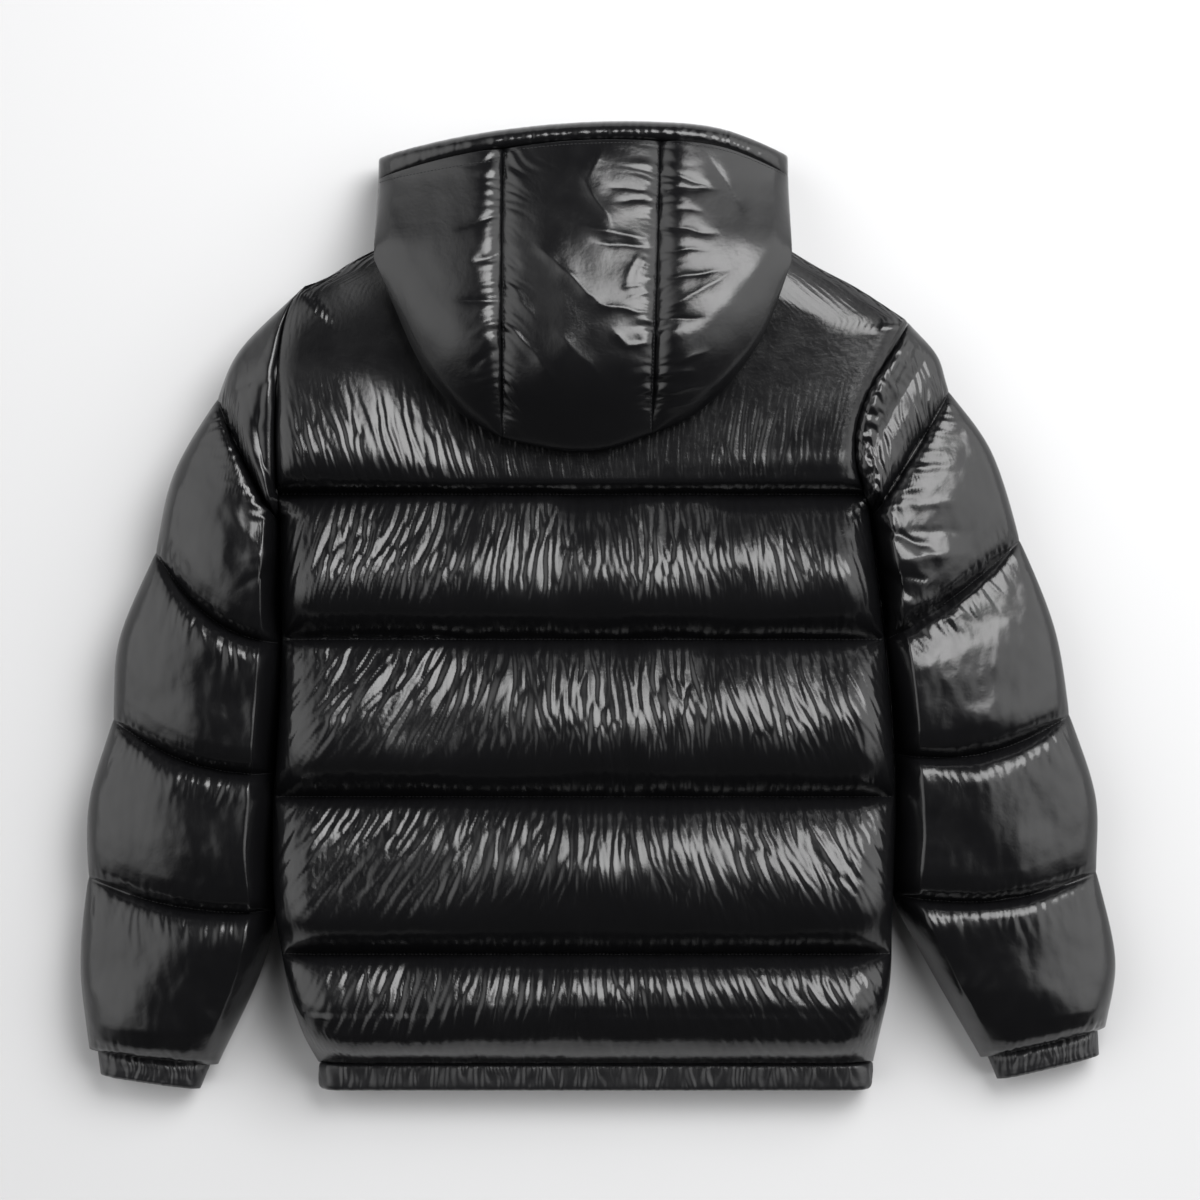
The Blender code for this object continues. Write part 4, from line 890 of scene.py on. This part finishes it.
def make_cuff(side):
    cuff, last = CUFFS[side], SLEEVES[side][-1]
    share, even = (np.linspace(0, 1, count) for count in CUFF_MESH)
    share = share[:, None]
    u = 0.5 - 0.5 * np.cos(math.pi * (0.25 * (1 - np.cos(math.pi * even)) + 0.5 * even))
    outer_end = np.array((last.outer_x, last.outer_y - SEAM_GAP), float)
    inner_end = np.array((last.inner_x, last.inner_y - SEAM_GAP), float)
    start, end = (mix(mix(outer_end, inner_end, place), np.array(hand, float), share)
                  for place, hand in ((cuff.begins, cuff.outer_hand), (cuff.ends, cuff.inner_hand)))
    width = np.linalg.norm(end - start, axis=-1)[:, None]
    plan = mix(start[:, None], end[:, None], u[None, :, None])
    rise = arch(u, CUFF_SQUARE)[None, :]
    gather = 1.5 * creases(u[None, :] * width, share * 22.0, 5.8, 30.0, CUFF_SEEDS[side])
    upper = HEM_MID + (CUFF_TOP - HEM_MID) * curve(CUFF_SWELL, share) * rise + gather * rise
    rings = ring_of(raised(plan, upper), raised(plan, underside(HEM_MID, u, width, CUFF_ROUND)))
    narrowed = (0.5 + CUFF_HOLLOW * (u - 0.5))[None, :, None]
    inside = mix(start[[0, -1]][:, None], end[[0, -1]][:, None], narrowed)
    hollow = slit(inside, np.full(inside.shape[:2], HEM_MID))
    return flat_tube(f"cuff_{side}_gathered", rings, hollow, BAND)


# ---- hem band

HEM_STATIONS = (40, 17, 330)  # beside the zip, round a side and across the back


def hem_stations(start, end):
    """Places round the band from zip to zip, left side first: the (x, z) of its middle and its turn.

    The turn is 0 where the band faces up and pi where it faces down.
    """
    low, high = HEM_MID - SLIT / 2, HEM_MID + SLIT / 2
    below, around, above = HEM_STATIONS
    turns = np.linspace(0, math.pi, around + 2)[1:-1]
    return ([((x, low), math.pi) for x in np.linspace(ZIP_X - ZIP_HALF, start, below)]
            + [((start, HEM_MID), math.pi - turn) for turn in turns]
            + [((x, high), 0.0) for x in np.linspace(start, end, above)]
            + [((end, HEM_MID), turn) for turn in turns]
            + [((x, low), math.pi) for x in np.linspace(end, ZIP_X + ZIP_HALF, below)])


def make_hem():
    start, end = HEM_ENDS[0] + HEM_MID, HEM_ENDS[1] - HEM_MID
    half = SLIT / 2
    profile, along = np.array(HEM_SECTION).T
    top = HEM_Y - SEAM_GAP
    y = top + (HEM_BOTTOM - top) * along
    rings, travelled, before = [], 0.0, None
    for place, turn in hem_stations(start, end):
        left = place[0] < (start + end) / 2
        way = np.array((math.sin(turn) * (-1 if left else 1), math.cos(turn)))
        here = np.array(place) + (half * way if 0 < turn < math.pi else 0)
        travelled += 0 if before is None else float(np.linalg.norm(here + HEM_OUT * way - before))
        before = here + HEM_OUT * way
        down = max(0.0, -way[1])
        thick = HEM_THICK + (HEM_MID - half - HEM_THICK) * min(1.0, 2 * down)
        share = np.where((profile > 0) & (turn >= math.pi - 1e-6), 1.0, profile)
        gather = 1.6 * (1 - down) * creases(travelled, top - y, 6.6, 28.0, 55)
        out = share * thick + gather * share
        rings.append(points(here[0] + way[0] * out, y, here[1] + way[1] * out))
    rings = np.array(rings)
    first = HEM_STATIONS[0] + HEM_STATIONS[1]
    return loft("hem_band_gathered", rings, BAND), [rings[first:-first, HEM_SEWN]]


# ---- hood

HOOD_PANELS = {"hood_left": 64, "hood_centre": 74, "hood_right": 66}  # columns of each
HOOD_ROWS = 190


def hood_side(x):
    """How far in from the hood's nearer side a place is."""
    return np.minimum(x - HOOD_X[0], HOOD_X[1] - x)


def lip_top(side):
    return mix(*LIP_TOP, rounding(side / LIP_ROUND))


def hood_boundaries(name):
    """A hood panel's left and right boundary, and the seams that draw it in."""
    def shifted(seam, by):
        return tuple((y, x + by) for y, x in seam)

    left_edge, right_edge = (((126, x), (394, x)) for x in HOOD_X)
    half = SEAM_GAP / 2
    if name == "hood_left":
        return left_edge, shifted(HOOD_SEAM_LEFT, -half), (HOOD_SEAM_LEFT,)
    if name == "hood_right":
        return shifted(HOOD_SEAM_RIGHT, half), right_edge, (HOOD_SEAM_RIGHT,)
    seams = HOOD_SEAM_LEFT, HOOD_SEAM_RIGHT
    return shifted(seams[0], half), shifted(seams[1], -half), seams


def swell_from(away, reach):
    """How far the hood has risen at a distance from an edge: quickly at first, then in a long curve."""
    slope = 1 - (1 - np.clip(away / reach, 0, 1)) ** 2
    return HOOD_EDGE_SHARE * rounding(away / HOOD_EDGE_ROUND) + (1 - HOOD_EDGE_SHARE) * slope


def hood_top(x, y, crown, seam_gap, between):
    """Height of the hood's outer side, and how far it is lifted off its fold, from 0 to 1.

    seam_gap is how far the nearest seam is; between is True between two seams.
    """
    full = curve(HOOD_HEIGHT, y)
    fold = curve(HOOD_FOLD, y) + HOOD_FOLD_HALF
    z = fold + ((full - fold) * swell_from(hood_side(x), HOOD_SIDE_ROUND)
                * swell_from(y - crown, HOOD_CROWN_ROUND))
    lifted = np.minimum(1, (z - fold) / HOOD_LEVEL)
    if between:
        sunk = (HOOD_SEAM_DEPTH - HOOD_PUFF) * np.exp(-seam_gap / 4)
        sunk = sunk + HOOD_PUFF * (1 - np.clip(seam_gap / 60, 0, 1)) ** 2
    else:
        sunk = HOOD_SEAM_DEPTH * np.exp(-seam_gap / HOOD_SEAM_WIDTH)
    return np.maximum(z - sunk * lifted, fold), lifted


def hood_under(x, y, crown):
    """Height of the hood's side that lies on the back."""
    lay = NEST_TOP + SEAM_GAP
    edge = HOOD_FOLD[0][1] - HOOD_FOLD_HALF
    inside = np.minimum(hood_side(x), y - crown)
    return mix(lay, edge, 1 - rounding(inside / HOOD_UNDER_ROUND))


HOOD_FOLDS = (
    (3, 366, -9, 338, 2.0, 9), (-9, 338, 12, 301, 2.4, 9), (-6, 301, 41, 293, 2.0, 5),
    (12, 335, 42, 332, -1.3, 3), (16, 323, 42, 327, -1.1, 3), (0, 289, 42, 286, -1.6, 4),
    (32, 281, 21, 254, 1.3, 4), (38, 279, 30, 256, 1.0, 3), (-46, 285, -20, 260, 1.6, 6),
    (-26, 266, 2, 239, 2.2, 6), (0, 240, 43, 232, 2.2, 5), (20, 252, 39, 257, 1.2, 3),
    (24, 243, 42, 249, 1.0, 3), (12, 218, 24, 207, 1.6, 4), (23, 207, 44, 210, 1.6, 4),
    (-70, 225, -30, 175, 1.3, 5), (-72, 260, -50, 226, 1.3, 5), (-30, 215, 0, 185, 1.0, 6),
    (49, 350, 88, 338, -1.8, 4), (52, 336, 94, 335, -1.6, 4), (50, 318, 82, 316, -1.0, 3),
    (50, 304, 92, 297, -2.0, 4), (50, 283, 86, 284, -1.2, 3), (50, 261, 99, 267, -2.0, 4),
    (58, 238, 104, 265, 1.6, 5), (50, 229, 81, 229, -2.0, 4), (92, 358, 115, 316, -1.6, 6),
    (62, 194, 86, 203, 1.3, 3), (50, 186, 76, 187, 1.3, 3), (52, 170, 86, 178, 1.3, 3),
    (50, 160, 74, 163, 1.0, 3), (-77, 314, -110, 301, -1.7, 3), (-76, 281, -97, 274, -2.0, 4),
    (-76, 244, -110, 243, -2.0, 5), (-77, 205, -100, 190, -1.5, 4),
)


# How steeply the puckers of each hood panel run, in mm of y a mm of x.
HOOD_TILTS = {
    "hood_left": ((126, 0.3), (394, 0.35)),
    "hood_centre": ((126, -0.9), (394, -0.8)),
    "hood_right": ((126, 0.2), (200, 0.3), (235, 0.45), (265, 0.2), (300, -0.05), (355, -0.3), (394, -0.3)),
}
HOOD_MIDDLE_X = -15  # left of it the nearer seam is the left one
HOOD_SEAMS_X = (-76, 47)
RIM_PROFILE = ((0.0, 0.0), (0.0, 0.8), (0.04, 0.9), (0.12, 0.965), (0.25, 1.0), (0.4, 0.995), (0.55, 0.96),
               (0.7, 0.89), (0.82, 0.78), (0.92, 0.6), (0.98, 0.35), (1.0, 0.0))  # shares of depth and height


def hood_creases(name, x, y, seam_gap):
    """Puckers that run off the seams, over soft unevenness."""
    seam_x = np.where(x < HOOD_MIDDLE_X, *HOOD_SEAMS_X)
    across = np.abs(x - seam_x)
    tilt = curve(HOOD_TILTS[name], y)
    if name == "hood_centre":
        tilt = np.where(x < HOOD_MIDDLE_X, tilt, 0.15 * noise(y / 40, 0, 7) - 0.1)
    fan = y - tilt * (x - seam_x) + 5 * noise(y / 23, x / 50, 241)
    reach = 15 + 13 * noise(y / 15, 3, 231)
    strength = 0.65 + 0.6 * noise(y / 27, seam_x, 251)
    pucker = creases(fan, across, 12.0, 60.0, 201) * np.exp(-(seam_gap / reach) ** 2)
    soft = noise(x / 38, y / 52, 211) + 0.4 * noise(x / 17, y / 21, 223)
    fine = creases(fan, across, 5.5, 22.0, 205) * np.exp(-(seam_gap / 10) ** 2)
    return strength * (2.2 * pucker + 0.8 * fine) + 0.55 * soft


def make_hood_panel(name):
    left, right, sewn = hood_boundaries(name)
    share = np.linspace(0, 1, HOOD_PANELS[name])[:, None]
    if name == "hood_left":
        share = share ** HOOD_PANEL_POWER
    if name == "hood_right":
        share = 1 - (1 - share) ** HOOD_PANEL_POWER

    def x_at(y):
        return line(left, y) * (1 - share) + line(right, y) * share

    middle = x_at(HOOD_MIDDLE_Y)
    crown, stitch, rim = (curve(table, middle) for table in (HOOD_CROWN, HOOD_STITCH, HOOD_RIM))
    side = hood_side(middle)
    down = spread(0, 1, 1 / HOOD_ROWS, (0, 1), 0.08, 0.4)[None, :]
    y = mix(stitch, crown, down)
    x = x_at(y)
    gap = np.min([np.abs(x - line(seam, y)) for seam in sewn], axis=0)
    z, lifted = hood_top(middle, y, crown, gap, len(sewn) == 2)
    grid = points(x, y, z)
    fold = hood_creases(name, x, y, gap) + folded(x, y, HOOD_FOLDS)
    fold = fold * lifted * ease(0, 6, stitch - y) * ease(0, 14, y - crown) * ease(0, 4, gap)
    grid = grid + normals_of(grid) * fold[..., None]

    neck = NECK_Y + SEAM_GAP
    wall = LIP_EDGE * (1 - rounding(side / LIP_ROUND))
    lip = lip_top(side)
    back = stitch - 3
    mouth = np.minimum(MOUTH_END_Y + (back - MOUTH_END_Y) * (1 - np.minimum(1, side / 22)), back)
    lying = [crown + np.minimum(inward, (neck - crown) * inward / 30)
             for inward in (0.0, 1.0, 2.5, 5.0, 9.0, 14.0, 24.0)]
    under = [(row, hood_under(middle, row, crown)) for row in (*lying, neck)]
    under += [(neck, wall), (rim - 9, wall), (rim - 3, wall + 1.5), (rim, wall + 4), (rim, lip), (mouth, lip),
              (mouth, lip + MOUTH)]
    first = points(x_at(stitch), stitch, lip + MOUTH)
    rings = np.concatenate([first, grid, *(points(x_at(row), row, height) for row, height in under)], 1)
    sewn = [grid[1:-1, np.abs(y[0] - y[0, 0] + 3).argmin()]]
    if name == "hood_centre":
        sewn += [grid[column, 2:-2] for column in (1, -2)]
    return loft(name + "_padded", rings, SHELL), sewn


def make_hood_rim():
    """The channel round the face opening."""
    x = np.linspace(*HOOD_X, 260)[:, None]
    stitch, rim = curve(HOOD_STITCH, x), curve(HOOD_RIM, x)
    low = lip_top(hood_side(x)) + SEAM_GAP
    beside, _ = hood_top(x, stitch, curve(HOOD_CROWN, x), FAR, False)
    top = np.maximum(beside - RIM_DROP, low + 5)
    along, share = np.array(RIM_PROFILE).T
    y = mix(stitch + SEAM_GAP, rim, along)
    gather = creases(x + 0.2 * y, y, 9.0, 40.0, 301) + 0.5 * creases(x - 0.3 * y, y, 5.0, 20.0, 305)
    z = mix(low, top, share) + 0.8 * gather * np.where(share > 0.3, 1, 0)
    return loft("hood_rim_channel", points(x, y, z), SHELL)


# ---- sewing

STITCH_PITCH = 3.2
STITCH = (2.3, 0.5, 0.4)  # length, width and height
STITCH_SECTIONS = ((-1.0, 0.3), (-0.6, 1.0), (0.6, 1.0), (1.0, 0.3))  # place along a stitch, fullness
STITCH_SIDES = 6


def stitches(path):
    """Corners of the thread stitches along a path of points on the cloth: (stitch, ring, corner, xyz)."""
    length = travel_of(path)
    places = np.arange(STITCH_PITCH, length[-1] - STITCH_PITCH, STITCH_PITCH)

    def at(far):
        return np.stack([np.interp(far, length, path[:, k]) for k in range(3)], -1)

    along = at(places + 1) - at(places - 1)
    along /= np.linalg.norm(along, axis=-1, keepdims=True)
    side = np.cross(along, (0, 0, 1))
    side /= np.linalg.norm(side, axis=-1, keepdims=True)
    rise = np.cross(side, along)
    long, wide, high = STITCH
    turn = np.arange(STITCH_SIDES) * 2 * math.pi / STITCH_SIDES
    made = []
    for place, full in STITCH_SECTIONS:
        centre = at(places) + along * (place * long / 2) + rise * (high * (full - 0.6))
        ring = (side[:, None] * np.cos(turn)[:, None] * wide / 2
                + rise[:, None] * np.sin(turn)[:, None] * high / 2)
        made.append(centre[:, None] + ring * full)
    return np.stack(made, 1)


def joined(name, solids, material):
    """One mesh of many like solids, an array (solid, ring, corner, xyz), each closed at both ends."""
    count, rows, columns = solids.shape[:3]
    one = ring_faces(rows, columns)
    ends = np.array([np.arange(columns)[::-1], np.arange(columns) + (rows - 1) * columns])
    start = (np.arange(count) * rows * columns)[:, None, None]
    faces = (one[None] + start).reshape(-1, 4).tolist() + (ends[None] + start).reshape(-1, columns).tolist()
    return object_from(name, solids.reshape(-1, 3), faces, material, 50)


# ---- zip

TAPE_SECTION = ((0.3, 8.4), (0.5, 7.5), (1.1, 7.1), (1.8, 7.3), (2.2, 7.75), (7.7, 7.75), (7.7, 8.85),
                (2.2, 8.85), (1.8, 9.4), (1.1, 9.6), (0.5, 9.2))
TAPE_CORD = 2  # mm of the tape that its cord stiffens
TOOTH_PITCH = 2.6
TOOTH_PLAN = ((2.9, -0.45), (1.2, -0.45), (0.3, -0.8), (-0.75, -0.55), (-0.75, 0.55), (0.3, 0.8), (1.2, 0.45),
              (2.9, 0.45))
TOOTH_LEVELS = ((6.25, 0.85), (6.5, 1.0), (10.1, 1.0), (10.35, 0.85))  # height, fullness


def make_zip():
    """Two tapes with a cord along their inner edges, and the moulded teeth that hold them together."""
    top, bottom = NECK_Y, HEM_BOTTOM + 2
    rows = np.linspace(top, bottom, 140)
    ripple = 0.12 * noise(rows / 9, 0, 5)
    pieces = []
    for name, way in OUTWARD.items():
        rings = [[(ZIP_X + way * x, y, z + (lift if x > TAPE_CORD else 0)) for x, z in TAPE_SECTION]
                 for y, lift in zip(rows, ripple)]
        pieces.append(loft(f"zip_tape_{name}", np.array(rings), TAPE))
    teeth = []
    for number, y in enumerate(np.arange(top - 3, bottom + 3, -TOOTH_PITCH / 2)):
        way = -1 if number % 2 else 1
        teeth.append([[(ZIP_X + way * x * full, y + along * full, z) for x, along in TOOTH_PLAN]
                      for z, full in TOOTH_LEVELS])
    pieces.append(joined("zip_teeth", np.array(teeth), TEETH))
    return pieces


# ---- dressing

def show(obj, slot, *nodes):
    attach(obj, "jacket")
    if nodes:
        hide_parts(*nodes)
    return obj


def padded(made, slot, fill, *nodes):
    """Shows a stuffed piece in place of its CAD nodes, and gives the paths along which it is sewn."""
    obj, sewn = made
    show(obj, slot, *nodes)
    return sewn


def dress():
    sewn = padded(make_back(), "shell", 0.7, "back")
    for side in OUTWARD:
        sewn += padded((make_front(side), []), "shell", 0.7, f"front_{side}")
        sewn += padded(make_sleeve(side), "shell", 0.7, f"sleeve_{side}")
        sewn += padded((make_cuff(side), []), "band", 0.4, f"cuff_{side}")
    sewn += padded(make_hem(), "band", 0.4, "hem_band")
    for name in HOOD_PANELS:
        sewn += padded(make_hood_panel(name), "shell", 0.6, name)
    padded((make_hood_rim(), []), "shell", 0.5, "hood_rim")
    show(joined("thread_stitches", np.concatenate([stitches(path) for path in sewn]), THREAD), "shell")
    for piece in make_zip():
        show(piece, "zip", "zip")
    for name in ("zip_slider", "pull_tab"):
        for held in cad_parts[name].material_slots:
            held.material = METAL


# ---- studio

CAMERA_AT = (1.6, 7.4)  # the point of the surface under the photograph's middle
CAMERA_UP = 2350.0
LENS = 85.0
SENSOR = 36.0
AIM = Vector((0, 0, 0.05))  # the jacket's middle
SKY = ((0.0, 0.35), (0.05, 0.22), (0.2, 0.05), (1.0, 0.02))  # (height, brightness)
# Two glows beside the jacket: the way to each, the cosines between which it rises, and its brightness.
GLOWS = (((-0.84, 0.2, 0.5), (0.6, 0.98), 2.2), ((0.82, 0.32, 0.47), (0.62, 0.99), 2.7))


def softbox(name, azimuth, zenith, distance, size, radiance):
    """An area light at an azimuth from +Y towards +X and an angle from above, seen from the aim."""
    data = bpy.data.lights.new(name, "AREA")
    data.shape = "RECTANGLE"
    data.size, data.size_y = size
    data.energy = radiance * math.pi * size[0] * size[1]
    made = bpy.data.objects.new(name, data)
    turn, tip = math.radians(azimuth), math.radians(zenith)
    way = Vector((math.sin(turn) * math.sin(tip), math.cos(turn) * math.sin(tip), math.cos(tip)))
    made.location = AIM + distance * way
    made.rotation_euler = (AIM - made.location).to_track_quat("-Z", "Y").to_euler()
    made.visible_camera = False
    bpy.context.scene.collection.objects.link(made)


def level_ramp(tree, value, stops):
    """A grey ramp of (place, brightness) stops over a value from 0 to 1."""
    ramp = add_node(tree, "ShaderNodeValToRGB", Fac=value)
    made = ramp.color_ramp.elements
    while len(made) < len(stops):
        made.new(1.0)
    for stop, (place, grey) in zip(made, stops):
        stop.position, stop.color = place, (grey, grey, grey, 1)
    return ramp.outputs["Color"]


def make_sky():
    """Light from a low bright horizon and two glows."""
    world = bpy.data.worlds.new("studio")
    bpy.context.scene.world = world
    world.use_nodes = True
    tree = world.node_tree
    way = add_node(tree, "ShaderNodeTexCoord").outputs["Generated"]
    level = level_ramp(tree, add_node(tree, "ShaderNodeSeparateXYZ", Vector=way).outputs["Z"], SKY)
    for towards, (begins, ends), full in GLOWS:
        facing = add_node(tree, "ShaderNodeVectorMath", {"operation": "DOT_PRODUCT"})
        tree.links.new(way, facing.inputs[0])
        facing.inputs[1].default_value = towards
        glow = add_node(tree, "ShaderNodeMapRange", {"interpolation_type": "SMOOTHSTEP"},
                        Value=facing.outputs["Value"], From_Min=begins, From_Max=ends, To_Min=0.0,
                        To_Max=full)
        added = add_node(tree, "ShaderNodeMath", {"operation": "ADD"})
        tree.links.new(level, added.inputs[0])
        tree.links.new(glow.outputs["Result"], added.inputs[1])
        level = added.outputs["Value"]
    feed(tree, tree.nodes["Background"], {"Color": level, "Strength": 1.0})


def make_studio():
    scene = bpy.context.scene
    scene.view_settings.view_transform = "Standard"

    mesh = bpy.data.meshes.new("floor")
    mesh.from_pydata([(-4, -4, 0), (4, -4, 0), (4, 4, 0), (-4, 4, 0)], [], [(0, 1, 2, 3)])
    floor = bpy.data.objects.new("floor", mesh)
    scene.collection.objects.link(floor)
    white, _, _ = new_material("floor_white", (0.59, 0.59, 0.595), Roughness=0.9, Specular_IOR_Level=0.1)
    mesh.materials.append(white)

    make_sky()
    softbox("key", 36, 38, 2.2, (1.35, 1.25), 9.5)

    data = bpy.data.cameras.new("camera")
    data.lens = LENS
    data.sensor_width = SENSOR
    camera = bpy.data.objects.new("camera", data)
    camera.location = (CAMERA_AT[0] * MM, CAMERA_AT[1] * MM, CAMERA_UP * MM)
    scene.collection.objects.link(camera)
    scene.camera = camera


dress()
make_studio()
